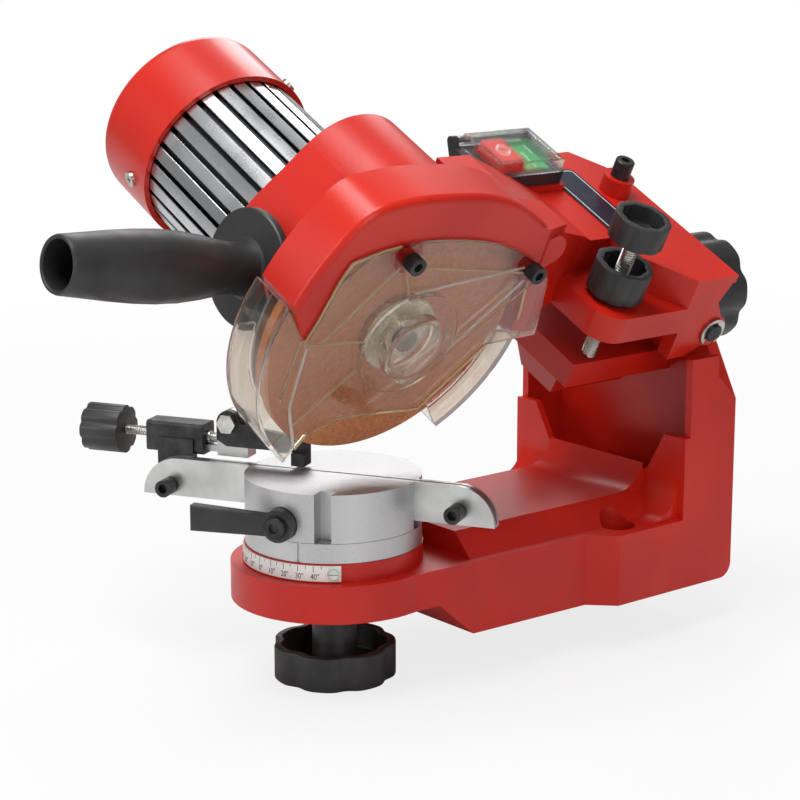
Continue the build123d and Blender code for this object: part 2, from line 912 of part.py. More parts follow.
# ---- swivel stud with the clamp knob and washer under the table ----
with BuildPart() as swivel_stud:
    with BuildSketch(bench.offset(clamp_stud_bottom)):
        Circle(stud_radius)
    extrude(amount=stud_top - clamp_stud_bottom)
    chamfer(edges().group_by(Axis.Z)[0], length=stud_radius / 6)
swivel_stud.part.label = "swivel_stud"
export_step(swivel_stud.part, "parts/swivel_stud.step")

washer_top = table_under - seat_gap
clamp_hub_top = washer_top - clamp_washer_thickness - seat_gap
with BuildPart() as clamp_washer:
    with BuildSketch(bench.offset(washer_top)):
        Circle(clamp_washer_radius)
        Circle(stud_radius, mode=Mode.SUBTRACT)
    extrude(amount=-clamp_washer_thickness)
clamp_washer.part.label = "clamp_washer"
export_step(clamp_washer.part, "parts/clamp_washer.step")

with BuildPart() as clamp_knob:
    with BuildSketch(bench.offset(clamp_rim_top)):
        Circle(clamp_knob_radius)
        with PolarLocations(clamp_knob_radius + 2 * clamp_wall / 3, clamp_knob_lobes):
            Circle(clamp_scallop_radius, mode=Mode.SUBTRACT)
        fillet(vertices(), radius=clamp_wall / 2)
    extrude(amount=clamp_rim_bottom - clamp_rim_top)
    fillet(faces().filter_by(Axis.Z).edges(), radius=clamp_wall / 4)
    # open cup underneath with a hub and ribs
    with BuildSketch(bench.offset(clamp_rim_bottom)):
        Circle(clamp_knob_radius - clamp_scallop_radius)
        Circle(clamp_hub_radius, mode=Mode.SUBTRACT)
        with PolarLocations(0, clamp_knob_lobes):
            Rectangle(2 * clamp_knob_radius, clamp_wall / 3, mode=Mode.SUBTRACT)
    extrude(amount=clamp_rim_top - clamp_rim_bottom - clamp_wall, mode=Mode.SUBTRACT)
    with BuildSketch(bench.offset(clamp_hub_top)):
        Circle(clamp_hub_radius)
    extrude(amount=clamp_rim_top - clamp_hub_top)
    with BuildSketch(bench.offset(clamp_hub_top + over)):
        Circle(stud_radius + fit)
    extrude(amount=clamp_rim_bottom - clamp_hub_top - 2 * over, mode=Mode.SUBTRACT)
clamp_knob.part.label = "clamp_knob"
export_step(clamp_knob.part, "parts/clamp_knob.step")

# ---- clamp lever and its screw ----
lever_start = lever_seat + seat_gap
lever_end = lever_start + lever_hub_length
with BuildPart() as clamp_lever:
    with BuildSketch(chain.offset(lever_start)):
        with Locations(lever_at):
            Circle(lever_hub_radius)
    extrude(amount=lever_hub_length)
    with BuildSketch(chain.offset(lever_end)):
        with BuildLine():
            Polyline(
                (lever_across, lever_z + lever_arm_width / 2),
                (lever_across, lever_z - lever_arm_width / 2),
                (lever_across - lever_arm_length, lever_z - lever_arm_tip_width / 2),
                (lever_across - lever_arm_length, lever_z + lever_arm_tip_width / 2),
                close=True,
            )
        make_face()
        with Locations(lever_at):
            Circle(lever_hub_radius)
    extrude(amount=-lever_arm_thickness)
    outer_face = faces().sort_by(Axis((0, 0, 0), chain.z_dir))[-1]
    fillet(outer_face.edges(), radius=over)
    with BuildSketch(chain.offset(lever_start - over)):
        with Locations(lever_at):
            Circle(lever_screw_radius)
    extrude(amount=lever_hub_length + 2 * over, mode=Mode.SUBTRACT)
clamp_lever.part.label = "clamp_lever"
export_step(clamp_lever.part, "parts/clamp_lever.step")

with BuildPart() as lever_screw:
    head_plane = chain.offset(lever_end)
    with BuildSketch(head_plane):
        with Locations(lever_at):
            Circle(lever_screw_head)
    extrude(amount=lever_screw_head_length)
    chamfer(edges().filter_by(GeomType.CIRCLE), length=lever_screw_head_length / 6)
    with BuildSketch(head_plane):
        with Locations(lever_at):
            Circle(lever_screw_radius)
    extrude(amount=-(lever_end + lever_screw_end))
    with BuildSketch(head_plane.offset(lever_screw_head_length)):
        with Locations(lever_at):
            RegularPolygon(lever_screw_head / 2, 6)
    extrude(amount=-lever_screw_head_length / 2, mode=Mode.SUBTRACT)
lever_screw.part.label = "lever_screw"
export_step(lever_screw.part, "parts/lever_screw.step")

# ---- chain stop: bracket, slider, screw with knob, pawl with its bolt ----
stop_axis = (stop_axis_back, stop_axis_z)
stop_middle_z = (stop_housing_bottom + stop_housing_top) / 2
stop_height = stop_housing_top - stop_housing_bottom
stop_length = stop_housing_right - stop_housing_left
pawl_rear_back = pawl_front_back + pawl_thickness
slide_front_back = pawl_rear_back + seat_gap
pawl_pivot = (pawl_pivot_across, pawl_pivot_z)
with BuildPart() as stop_bracket:
    with BuildSketch(along.offset(stop_housing_left)):
        with Locations((stop_axis_back, stop_middle_z)):
            RectangleRounded(stop_housing_depth, stop_height, stop_collar_width)
    extrude(amount=stop_length)
    # foot screwed to the back of the rear rail
    foot_height = stop_middle_z - stop_foot_bottom
    with BuildSketch(along.offset(stop_foot_left)):
        with Locations((rear_rail_face + stop_foot_thickness / 2, stop_foot_bottom + foot_height / 2)):
            Rectangle(stop_foot_thickness, foot_height)
    extrude(amount=stop_foot_width)
    with BuildSketch(along.offset(stop_housing_left - over)):
        with Locations(stop_axis):
            Circle(stop_screw_radius + fit)
    extrude(amount=stop_length + 2 * over, mode=Mode.SUBTRACT)
    # slot for the slider's guide bar
    with BuildSketch(along.offset(stop_bar_left - stop_travel - over)):
        with Locations((stop_axis_back, stop_bar_z)):
            Rectangle(stop_bar_width + 2 * seat_gap, stop_bar_height + 2 * seat_gap)
    extrude(amount=stop_length, mode=Mode.SUBTRACT)
    with BuildSketch(chain):
        with Locations(rail_screw_left):
            Circle(rail_screw_radius)
    extrude(amount=-stop_axis_back, mode=Mode.SUBTRACT)
stop_bracket.part.label = "stop_bracket"
export_step(stop_bracket.part, "parts/stop_bracket.step")

with BuildPart() as stop_slider:
    slide_height = stop_slide_top - stop_housing_bottom
    with BuildSketch(along.offset(stop_slide_left)):
        with Locations((slide_front_back + stop_slide_depth / 2, stop_housing_bottom + slide_height / 2)):
            Rectangle(stop_slide_depth, slide_height)
    extrude(amount=stop_slide_right - stop_slide_left)
    # ear that carries the pawl's pivot
    with BuildSketch(chain.offset(-slide_front_back)):
        with Locations(pawl_pivot):
            Circle(pawl_eye_radius)
        with Locations((pawl_pivot_across, (pawl_pivot_z + pawl_low) / 2)):
            Rectangle(2 * pawl_eye_radius, pawl_pivot_z - pawl_low)
    extrude(amount=-pawl_ear_thickness)
    # upright tab behind the pawl
    tab_low = stop_middle_z
    with BuildSketch(chain.offset(-slide_front_back)):
        with Locations(((stop_tab_left + stop_tab_right) / 2, (tab_low + stop_tab_top) / 2)):
            Rectangle(stop_tab_right - stop_tab_left, stop_tab_top - tab_low)
    extrude(amount=-stop_tab_thickness)
    with BuildSketch(along.offset(stop_bar_left)):
        with Locations((stop_axis_back, stop_bar_z)):
            Rectangle(stop_bar_width, stop_bar_height)
    extrude(amount=stop_slide_left - stop_bar_left)
    with BuildSketch(along.offset(stop_slide_left - over)):
        with Locations(stop_axis):
            Circle(stop_screw_radius + fit)
    extrude(amount=stop_slide_right - stop_slide_left + 2 * over, mode=Mode.SUBTRACT)
    with BuildSketch(chain):
        with Locations(pawl_pivot):
            Circle(pawl_bolt_radius)
    extrude(amount=-vise_radius, mode=Mode.SUBTRACT)
stop_slider.part.label = "stop_slider"
export_step(stop_slider.part, "parts/stop_slider.step")

with BuildPart() as stop_screw:
    with BuildSketch(along.offset(stop_screw_left)):
        with Locations(stop_axis):
            Circle(stop_screw_radius)
    extrude(amount=stop_screw_right - stop_screw_left)
    chamfer(edges().filter_by(GeomType.CIRCLE), length=stop_screw_radius / 6)
    # collars on both sides of the bracket
    left_collar = stop_housing_left - seat_gap - stop_collar_width
    for collar_start in (left_collar, stop_housing_right + seat_gap):
        with BuildSketch(along.offset(collar_start)):
            with Locations(stop_axis):
                Circle(stop_collar_radius)
        extrude(amount=stop_collar_width)
stop_screw.part.label = "stop_screw"
export_step(stop_screw.part, "parts/stop_screw.step")

with BuildPart() as stop_knob:
    knob_length = stop_knob_right - stop_knob_left
    with BuildSketch(along.offset(stop_knob_left)):
        with Locations(stop_axis):
            Circle(stop_knob_radius)
            with PolarLocations(stop_knob_radius + small_knob_wall / 2, stop_knob_lobes):
                Circle(small_knob_wall, mode=Mode.SUBTRACT)
    extrude(amount=knob_length)
    # open cup on the outer end with a hub
    with BuildSketch(along.offset(stop_knob_left)):
        with Locations(stop_axis):
            Circle(stop_knob_radius - 2 * small_knob_wall + over)
            Circle(stop_screw_radius + 2 * over, mode=Mode.SUBTRACT)
    extrude(amount=knob_length - small_knob_wall, mode=Mode.SUBTRACT)
    with BuildSketch(along.offset(stop_knob_left)):
        with Locations(stop_axis):
            Circle(stop_screw_radius + 2 * over)
    extrude(amount=knob_length / 3, mode=Mode.SUBTRACT)
    with BuildSketch(along.offset(stop_screw_left)):
        with Locations(stop_axis):
            Circle(stop_screw_radius)
    extrude(amount=knob_length, mode=Mode.SUBTRACT)
stop_knob.part.label = "stop_knob"
export_step(stop_knob.part, "parts/stop_knob.step")

with BuildPart() as pawl:
    pawl_top = pawl_pivot_z - pawl_bolt_radius
    finger_left = pawl_tip_across - pawl_finger
    with BuildSketch(chain.offset(-pawl_front_back)):
        with BuildLine():
            Polyline(
                (pawl_pivot_across - pawl_eye_radius, pawl_pivot_z),
                (pawl_pivot_across - pawl_eye_radius, pawl_low + pawl_bolt_radius),
                (pawl_pivot_across - over, pawl_low),
                (finger_left, pawl_low),
                (finger_left, pawl_finger_low),
                (pawl_tip_across, pawl_finger_low),
                (pawl_tip_across, pawl_top - pawl_thickness),
                (finger_left - over, pawl_top),
                (pawl_pivot_across + pawl_eye_radius, pawl_pivot_z),
                close=True,
            )
        make_face()
        with Locations(pawl_pivot):
            Circle(pawl_eye_radius)
    extrude(amount=-pawl_thickness)
    # finger that comes forward over the rails
    with BuildSketch(chain.offset(-pawl_front_back)):
        finger_height = pawl_low - pawl_finger_low + over
        with Locations((pawl_tip_across - pawl_finger / 2, pawl_finger_low + finger_height / 2)):
            Rectangle(pawl_finger, finger_height)
    extrude(amount=pawl_finger_reach)
    with BuildSketch(chain):
        with Locations(pawl_pivot):
            Circle(pawl_bolt_radius + fit)
    extrude(amount=-stop_axis_back, mode=Mode.SUBTRACT)
pawl.part.label = "pawl"
export_step(pawl.part, "parts/pawl.step")

with BuildPart() as pawl_bolt:
    bolt_seat = -(pawl_front_back - seat_gap)
    nut_start = -(slide_front_back + pawl_ear_thickness)
    with BuildSketch(chain.offset(bolt_seat)):
        with Locations(pawl_pivot):
            RegularPolygon(pawl_bolt_head, 6)
    extrude(amount=pawl_bolt_head_height)
    with BuildSketch(chain.offset(bolt_seat)):
        with Locations(pawl_pivot):
            Circle(pawl_bolt_radius)
    extrude(amount=nut_start - pawl_nut_height - over - bolt_seat)
    with BuildSketch(chain.offset(nut_start)):
        with Locations(pawl_pivot):
            RegularPolygon(pawl_bolt_head, 6)
    extrude(amount=-pawl_nut_height)
pawl_bolt.part.label = "pawl_bolt"
export_step(pawl_bolt.part, "parts/pawl_bolt.step")

# ---- tilting bracket with the hinge barrel ----
with BuildPart() as swivel_bracket:
    with BuildSketch(across.offset(-bracket_half)):
        with Locations(((bracket_front + bracket_rear) / 2, (bracket_top + bracket_bottom) / 2)):
            Rectangle(bracket_rear - bracket_front, bracket_top - bracket_bottom)
    extrude(amount=2 * bracket_half)
    with BuildSketch(deck.offset(bracket_bottom)):
        with Locations((0, (keel_front + keel_rear) / 2)):
            Rectangle(2 * keel_half, keel_rear - keel_front)
    extrude(amount=keel_bottom - bracket_bottom, taper=keel_taper)
    # web up to the barrel
    with BuildSketch(across.offset(barrel_left)):
        with Locations(((web_front + web_rear) / 2, (bracket_bottom + hinge_w) / 2)):
            Rectangle(web_rear - web_front, hinge_w - bracket_bottom)
    extrude(amount=web_right - barrel_left)
    with BuildSketch(across.offset(barrel_left)):
        with Locations(hinge_at):
            Circle(hinge_barrel_radius)
    extrude(amount=lug_inner - free_gap - barrel_left)
    # round boss that turns against the column's back wall
    with BuildSketch(facing.offset(-bracket_rear)):
        Circle(tilt_boss_radius)
    extrude(amount=-(back_inner - seat_gap - bracket_rear))
    with BuildSketch(across.offset(-lug_outer)):
        with Locations(hinge_at):
            Circle(hinge_pin_radius)
    extrude(amount=2 * lug_outer, mode=Mode.SUBTRACT)
    with BuildSketch(facing.offset(-tilt_stud_front)):
        Circle(tilt_stud_radius)
    extrude(amount=-back_wall, mode=Mode.SUBTRACT)
swivel_bracket.part.label = "swivel_bracket"
export_step(swivel_bracket.part, "parts/swivel_bracket.step")

with BuildPart() as tilt_stud:
    with BuildSketch(facing.offset(-tilt_stud_front)):
        Circle(tilt_stud_radius)
    extrude(amount=-(tilt_stud_rear - tilt_stud_front))
    chamfer(edges().group_by(Axis.Y)[-1], length=tilt_stud_radius / 6)
tilt_stud.part.label = "tilt_stud"
export_step(tilt_stud.part, "parts/tilt_stud.step")

tilt_washer_front = base_rear + seat_gap
tilt_knob_front = tilt_washer_front + tilt_washer_thickness + seat_gap
with BuildPart() as tilt_washer:
    with BuildSketch(facing.offset(-tilt_washer_front)):
        Circle(tilt_washer_radius)
        Circle(tilt_stud_radius, mode=Mode.SUBTRACT)
    extrude(amount=-tilt_washer_thickness)
tilt_washer.part.label = "tilt_washer"
export_step(tilt_washer.part, "parts/tilt_washer.step")

with BuildPart() as tilt_knob:
    knob_start = tilt_knob_front + tilt_knob_hub_length
    with BuildSketch(facing.offset(-knob_start)):
        Circle(tilt_knob_radius)
        with PolarLocations(tilt_knob_radius + 2 * tilt_knob_wall / 3, tilt_knob_lobes):
            Circle(tilt_scallop_radius, mode=Mode.SUBTRACT)
        fillet(vertices(), radius=tilt_knob_wall / 2)
    extrude(amount=-tilt_knob_depth)
    fillet(faces().filter_by(Axis.Y).edges(), radius=tilt_knob_wall / 4)
    # open cup towards the back with a hub and ribs
    with BuildSketch(facing.offset(-(knob_start + tilt_knob_depth))):
        Circle(tilt_knob_radius - tilt_scallop_radius)
        Circle(tilt_knob_hub_radius, mode=Mode.SUBTRACT)
        with PolarLocations(0, tilt_knob_lobes):
            Rectangle(2 * tilt_knob_radius, tilt_knob_wall / 3, mode=Mode.SUBTRACT)
    extrude(amount=tilt_knob_depth - tilt_knob_wall, mode=Mode.SUBTRACT)
    with BuildSketch(facing.offset(-tilt_knob_front)):
        Circle(tilt_knob_hub_radius)
    extrude(amount=-tilt_knob_hub_length)
    with BuildSketch(facing.offset(-tilt_knob_front + over)):
        Circle(tilt_stud_radius + fit)
    extrude(amount=-(tilt_knob_hub_length + tilt_knob_depth + 2 * over), mode=Mode.SUBTRACT)
tilt_knob.part.label = "tilt_knob"
export_step(tilt_knob.part, "parts/tilt_knob.step")

# ---- hinge pin, clips, spacer and lift spring ----
pin_half = lug_outer + pin_overhang
clip_near = lug_outer + free_gap
clip_seat_radius = hinge_pin_radius - clip_thickness / 2
with BuildPart() as hinge_pin:
    with BuildSketch(across.offset(-pin_half)):
        with Locations(hinge_at):
            Circle(hinge_pin_radius)
    extrude(amount=2 * pin_half)
    chamfer(edges().filter_by(GeomType.CIRCLE), length=hinge_pin_radius / 10)
    for clip_u in (clip_near, -clip_near - clip_thickness):
        with BuildSketch(across.offset(clip_u)):
            with Locations(hinge_at):
                Circle(hinge_pin_radius + over)
                Circle(clip_seat_radius, mode=Mode.SUBTRACT)
        extrude(amount=clip_thickness, mode=Mode.SUBTRACT)
hinge_pin.part.label = "hinge_pin"
export_step(hinge_pin.part, "parts/hinge_pin.step")

with BuildPart() as hinge_clips:
    for clip_u in (clip_near, -clip_near - clip_thickness):
        with BuildSketch(across.offset(clip_u)):
            with Locations(hinge_at):
                Circle(clip_radius)
                with PolarLocations(hinge_pin_radius, 3, start_angle=90):
                    Circle(clip_thickness, mode=Mode.SUBTRACT)
                Circle(clip_seat_radius, mode=Mode.SUBTRACT)
            with Locations((hinge_y, hinge_w - clip_radius)):
                Rectangle(2 * clip_seat_radius - over, 2 * clip_radius, mode=Mode.SUBTRACT)
        extrude(amount=clip_thickness)
hinge_clips.part.label = "hinge_clips"
export_step(hinge_clips.part, "parts/hinge_clips.step")

# the straight ends run on in the coil's direction, so they drift sideways a little
coil_slope = (barrel_left - spring_u) / (2 * pi * spring_radius * spring_turns)
coil_end = barrel_left - spring_wire / 2 - coil_slope * (hinge_w - spring_leg_low)
coil_plane = Plane(origin=head_point(spring_u, *hinge_at), x_dir=up_dir, z_dir=right_dir)
spring_top = hinge_w + spring_radius + spring_wire / 2
with BuildPart() as coil_and_legs:
    with BuildLine():
        coil = Helix(
            pitch=(coil_end - spring_u) / spring_turns,
            height=coil_end - spring_u,
            radius=spring_radius,
            lefthand=True,
        )
    with BuildSketch(Plane(origin=coil @ 0, z_dir=coil % 0)):
        Circle(spring_wire / 2)
    sweep(is_frenet=True)
    # straight legs: to the setting screw in front, and down along the web
    with BuildSketch(Plane(origin=coil @ 0, z_dir=coil % 0)):
        Circle(spring_wire / 2)
    extrude(amount=spring_leg_front - hinge_y)
    with BuildSketch(Plane(origin=coil @ 1, z_dir=coil % 1)):
        Circle(spring_wire / 2)
    extrude(amount=hinge_w - spring_leg_low)
with BuildPart() as lift_spring:
    with Locations(coil_plane.location):
        add(coil_and_legs.part)
lift_spring.part.label = "lift_spring"
export_step(lift_spring.part, "parts/lift_spring.step")

with BuildPart() as pin_spacer:
    spacer_right = spring_u - spring_wire - seat_gap
    with BuildSketch(across.offset(-lug_inner + free_gap)):
        with Locations(hinge_at):
            Circle(spacer_radius)
            Circle(hinge_pin_radius, mode=Mode.SUBTRACT)
    extrude(amount=spacer_right + lug_inner - free_gap)
pin_spacer.part.label = "pin_spacer"
export_step(pin_spacer.part, "parts/pin_spacer.step")

# ---- head casting: hood, motor mount, neck, deck, shelf and hinge lugs ----
cavity_left = hood_left + hood_wall
cavity_right = hood_right - hood_wall
mount_inner_left = motor_mount_left + mount_wall
mount_inner_right = hood_left - hood_wall
dome_at = (dome_y, dome_w)
rod_at = (depth_u, depth_y)
limit_at = (limit_u, limit_y)
lug_rear_waist = (lug_waist_y, lug_waist_w)
grip_dir = (sin(rise) * up_dir[0], -cos(rise), sin(rise) * up_dir[2])
grip_face = Plane(
    origin=head_point(handle_u, handle_y, handle_w),
    x_dir=right_dir,
    z_dir=grip_dir,
)
with BuildPart() as arm_casting:
    with BuildSketch(across.offset(hood_left)):
        with BuildLine():
            Line(guard_edge[0], hood_curve[0])
            Spline(*hood_curve)
            Polyline(
                hood_curve[-1],
                (hood_rear_y, neck_crest_w - wall),
                (hood_rear_y, guard_edge[-1][1]),
                guard_edge[-1],
                guard_edge[0],
            )
        make_face()
    extrude(amount=hood_right - hood_left)
    hood_face = faces().sort_by(Axis((0, 0, 0), right_dir))[-1]
    fillet(hood_face.edges().filter_by(GeomType.BSPLINE), radius=hood_edge_radius)
    # neck that falls from the hood to the deck, tapering in plan
    with BuildSketch(across.offset(arm_left)):
        with BuildLine():
            Polyline(
                (arm_front, arm_bottom),
                (arm_front, neck_crest_w),
                hood_curve[-1],
                (neck_foot_y, deck_top),
                (neck_foot_y, arm_bottom),
                close=True,
            )
        make_face()
    extrude(amount=hood_right - arm_left)
    with BuildSketch(deck):
        with BuildLine():
            Polyline(
                (hood_right, neck_crest_y),
                (hood_right + over, neck_crest_y),
                (hood_right + over, neck_foot_y + over),
                (neck_right_rear_u, neck_foot_y + over),
                (neck_right_rear_u, neck_rear_y),
                close=True,
            )
        make_face()
    extrude(amount=2 * deck_top, mode=Mode.SUBTRACT)
    # body under the deck
    with BuildSketch(deck.offset(arm_bottom)):
        with BuildLine():
            Polyline(
                (arm_left, neck_rear_y),
                (deck_edge_u, neck_rear_y),
                (deck_edge_u, deck_step_y - wall),
                (deck_step_u, deck_step_y),
                (lug_outer, deck_end_y),
                (lug_outer, shelf_rear),
                (-lug_outer, shelf_rear),
                (-lug_outer, lug_front_y),
                (arm_left, deck_step_y),
                close=True,
            )
        make_face()
    extrude(amount=deck_top - arm_bottom)
    with BuildSketch(deck.offset(deck_top)):
        with BuildLine():
            Polyline(
                (deck_left, deck_front_left),
                (arm_left + wall, deck_front_left),
                (deck_edge_u, neck_rear_y),
                (deck_edge_u, deck_step_y - wall),
                (deck_step_u, deck_step_y),
                (lug_outer, deck_end_y),
                (lug_outer, deck_rear),
                (-lug_outer, deck_rear),
                (deck_left, limit_y),
                close=True,
            )
        make_face()
    extrude(amount=-deck_thickness)
    # box under the switch
    with BuildSketch(deck.offset(switch_box_low)):
        with Locations(((deck_left + arm_left) / 2 + over, (switch_front + switch_rear) / 2)):
            Rectangle(arm_left - deck_left + 2 * over, switch_rear - switch_front + 2 * over)
    extrude(amount=plinth_top - switch_box_low)
    # shelf that carries the depth stop
    with BuildSketch(deck.offset(arm_bottom)):
        with Locations(((shelf_left + shelf_right) / 2, (shelf_front + shelf_rear) / 2)):
            Rectangle(shelf_right - shelf_left, shelf_rear - shelf_front)
        fillet(vertices().sort_by(Axis.X)[-2:].sort_by(Axis.Y)[0], radius=shelf_corner)
    extrude(amount=shelf_top - arm_bottom)
    # hinge lugs
    for lug_u in (-lug_outer, lug_inner):
        with BuildSketch(across.offset(lug_u)):
            with BuildLine():
                Polyline(
                    (deck_end_y, deck_top),
                    (deck_rear, deck_top),
                    lug_rear_waist,
                    (hinge_y + lug_ear_radius, hinge_w),
                    (shelf_rear, lug_bottom),
                    (lug_front_y, lug_bottom),
                    close=True,
                )
            make_face()
            with Locations(hinge_at):
                Circle(lug_ear_radius)
        extrude(amount=lug_outer - lug_inner)
    # motor mount: round barrel with the capacitor dome above it
    with BuildSketch(across.offset(motor_mount_left)):
        with BuildLine():
            CenterArc(wheel_at, motor_mount_radius, 0, 360)
            CenterArc(dome_at, dome_radius, 0, 360)
        make_hull()
    extrude(amount=hood_left - motor_mount_left)
    with BuildSketch(grip_face):
        Circle(handle_boss_radius)
    extrude(amount=-handle_boss_length)
    # wheel space and its opening to the right and below
    with BuildSketch(across.offset(cavity_left)):
        with Locations(wheel_at):
            Circle(hood_cavity_radius)
    extrude(amount=cavity_right - cavity_left, mode=Mode.SUBTRACT)
    with BuildSketch(across.offset(cavity_right - over)):
        with BuildLine():
            Polyline(*guard_edge[:guard_curve_from + 1])
            Spline(*guard_edge[guard_curve_from:guard_curve_to + 1])
            Polyline(*guard_edge[guard_curve_to:], guard_edge[0])
        make_face()
    extrude(amount=hood_wall + 2 * over, mode=Mode.SUBTRACT)
    # hollow of the motor mount
    with BuildSketch(across.offset(mount_inner_left)):
        with BuildLine():
            CenterArc(wheel_at, motor_mount_radius - mount_wall, 0, 360)
            CenterArc(dome_at, dome_radius - mount_wall, 0, 360)
        make_hull()
    extrude(amount=mount_inner_right - mount_inner_left, mode=Mode.SUBTRACT)
    with BuildSketch(across.offset(motor_mount_left - over)):
        with Locations(wheel_at):
            Circle(housing_tube_radius)
    extrude(amount=mount_wall + 2 * over, mode=Mode.SUBTRACT)
    # web that holds the capacitor
    with BuildSketch(across.offset(capacitor_web_left)):
        with Locations((dome_y, dome_w + dome_radius / 2)):
            Rectangle(2 * capacitor_radius + 2 * wall, dome_radius - mount_wall)
        with BuildLine():
            CenterArc(dome_at, dome_radius, 0, 360)
        make_face(mode=Mode.INTERSECT)
    extrude(amount=mount_wall)
    with BuildSketch(across.offset(capacitor_left)):
        with Locations((dome_y, dome_w + dome_radius / 2)):
            Circle(capacitor_radius)
    extrude(amount=capacitor_length, mode=Mode.SUBTRACT)
    # front bearing hub
    with BuildSketch(across.offset(bearing_left - bearing_width / 4)):
        with Locations(wheel_at):
            Circle(bearing_hub_radius)
    extrude(amount=mount_inner_right - bearing_left + bearing_width / 4)
    with BuildSketch(across.offset(bearing_left - bearing_width)):
        with Locations(wheel_at):
            Circle(bearing_radius)
    extrude(amount=2 * bearing_width, mode=Mode.SUBTRACT)
    with BuildSketch(across.offset(bearing_left)):
        with Locations(wheel_at):
            Circle(shaft_hole_radius)
    extrude(amount=cavity_left - bearing_left + over, mode=Mode.SUBTRACT)
    # screw tabs for the clear guard
    for screw_at in (guard_screw_a, guard_screw_b):
        reach_out = Vector(*screw_at) - Vector(*wheel_at)
        root = Vector(*screw_at) + reach_out.normalized() * tab_shift
        with BuildSketch(across.offset(tab_left)):
            with BuildLine():
                CenterArc(screw_at, guard_tab_radius, 0, 360)
                CenterArc((root.X, root.Y), guard_tab_radius, 0, 360)
            make_hull()
        extrude(amount=hood_right + guard_proud - guard_thickness - tab_left)
    with BuildSketch(across.offset(tab_left - over)):
        with Locations(guard_screw_a, guard_screw_b):
            Circle(guard_screw_radius)
    extrude(amount=hood_wall + 2 * over, mode=Mode.SUBTRACT)
    # pockets under the deck
    pocket_top = deck_top - deck_thickness
    with BuildSketch(deck.offset(arm_bottom - over)):
        with Locations(
            ((arm_left + wall + left_pocket_right) / 2, (left_pocket_front + pocket_rear) / 2)
        ):
            Rectangle(left_pocket_right - arm_left - wall, pocket_rear - left_pocket_front)
        with BuildLine():
            Polyline(
                (right_pocket_left, right_pocket_front),
                (0, right_pocket_front),
                (0, deck_step_y),
                (deck_step_u - wall, deck_step_y + wall),
                (lug_inner - wall, deck_end_y),
                (lug_inner - wall, pocket_rear),
                (right_pocket_left, pocket_rear),
                close=True,
            )
        make_face()
    extrude(amount=pocket_top - arm_bottom + over, mode=Mode.SUBTRACT)
    # switch box hollow, open at the top
    with BuildSketch(deck.offset(switch_box_low + switch_box_wall)):
        with Locations(((switch_left + switch_right) / 2, (switch_front + switch_rear) / 2)):
            Rectangle(
                switch_right - switch_left - 2 * switch_box_wall,
                switch_rear - switch_front - 2 * switch_box_wall,
            )
    extrude(amount=plinth_top, mode=Mode.SUBTRACT)
    with BuildSketch(deck.offset(deck_top)):
        with Locations(limit_at):
            Circle(limit_boss_radius)
    extrude(amount=limit_boss_top - deck_top)
    # bores
    with BuildSketch(deck):
        with Locations(limit_at):
            Circle(limit_screw_radius)
        with Locations(rod_at):
            Circle(depth_radius + fit)
    extrude(amount=limit_boss_top + over, mode=Mode.SUBTRACT)
    with BuildSketch(across.offset(-lug_outer - over)):
        with Locations(hinge_at):
            Circle(hinge_pin_radius + fit)
    extrude(amount=2 * (lug_outer + over), mode=Mode.SUBTRACT)
    with BuildSketch(grip_face):
        Circle(handle_stud_radius)
    extrude(amount=-handle_boss_length / 2, mode=Mode.SUBTRACT)
arm_casting.part.label = "arm_casting"
export_step(arm_casting.part, "parts/arm_casting.step")

# ---- motor: housing, end cap, screws, stator, windings, bearings ----
cap_inner = cap_radius - cap_wall
tube_inner = housing_tube_radius - housing_tube_wall
with BuildPart() as motor_housing:
    # ring that the end cap is screwed to
    with BuildSketch(across.offset(housing_left)):
        with Locations(wheel_at):
            Circle(cap_inner)
            Circle(tube_inner, mode=Mode.SUBTRACT)
    extrude(amount=flange_ring_width)
    # tube with its cooling fins
    fin_length = housing_radius - housing_tube_radius + over
    with BuildSketch(across.offset(housing_left + flange_ring_width)):
        with Locations(wheel_at):
            Circle(housing_tube_radius)
            with PolarLocations(housing_radius - fin_length / 2, fin_count):
                Rectangle(fin_length, fin_thickness)
            Circle(tube_inner, mode=Mode.SUBTRACT)
    extrude(amount=motor_mount_left - housing_left - flange_ring_width)
    with BuildSketch(across.offset(motor_mount_left)):
        with Locations(wheel_at):
            Circle(housing_tube_radius)
            Circle(tube_inner, mode=Mode.SUBTRACT)
    extrude(amount=mount_wall)
    for angle in cap_screw_angles:
        outward = Vector(0, cos(radians(angle)), 0) + sin(radians(angle)) * Vector(*up_dir)
        start = Vector(*head_point(cap_screw_u, wheel_y, wheel_w)) + cap_radius * outward
        with BuildSketch(Plane(origin=start, z_dir=outward)):
            Circle(cap_screw_radius)
        extrude(amount=-2 * cap_wall, mode=Mode.SUBTRACT)
motor_housing.part.label = "motor_housing"
export_step(motor_housing.part, "parts/motor_housing.step")

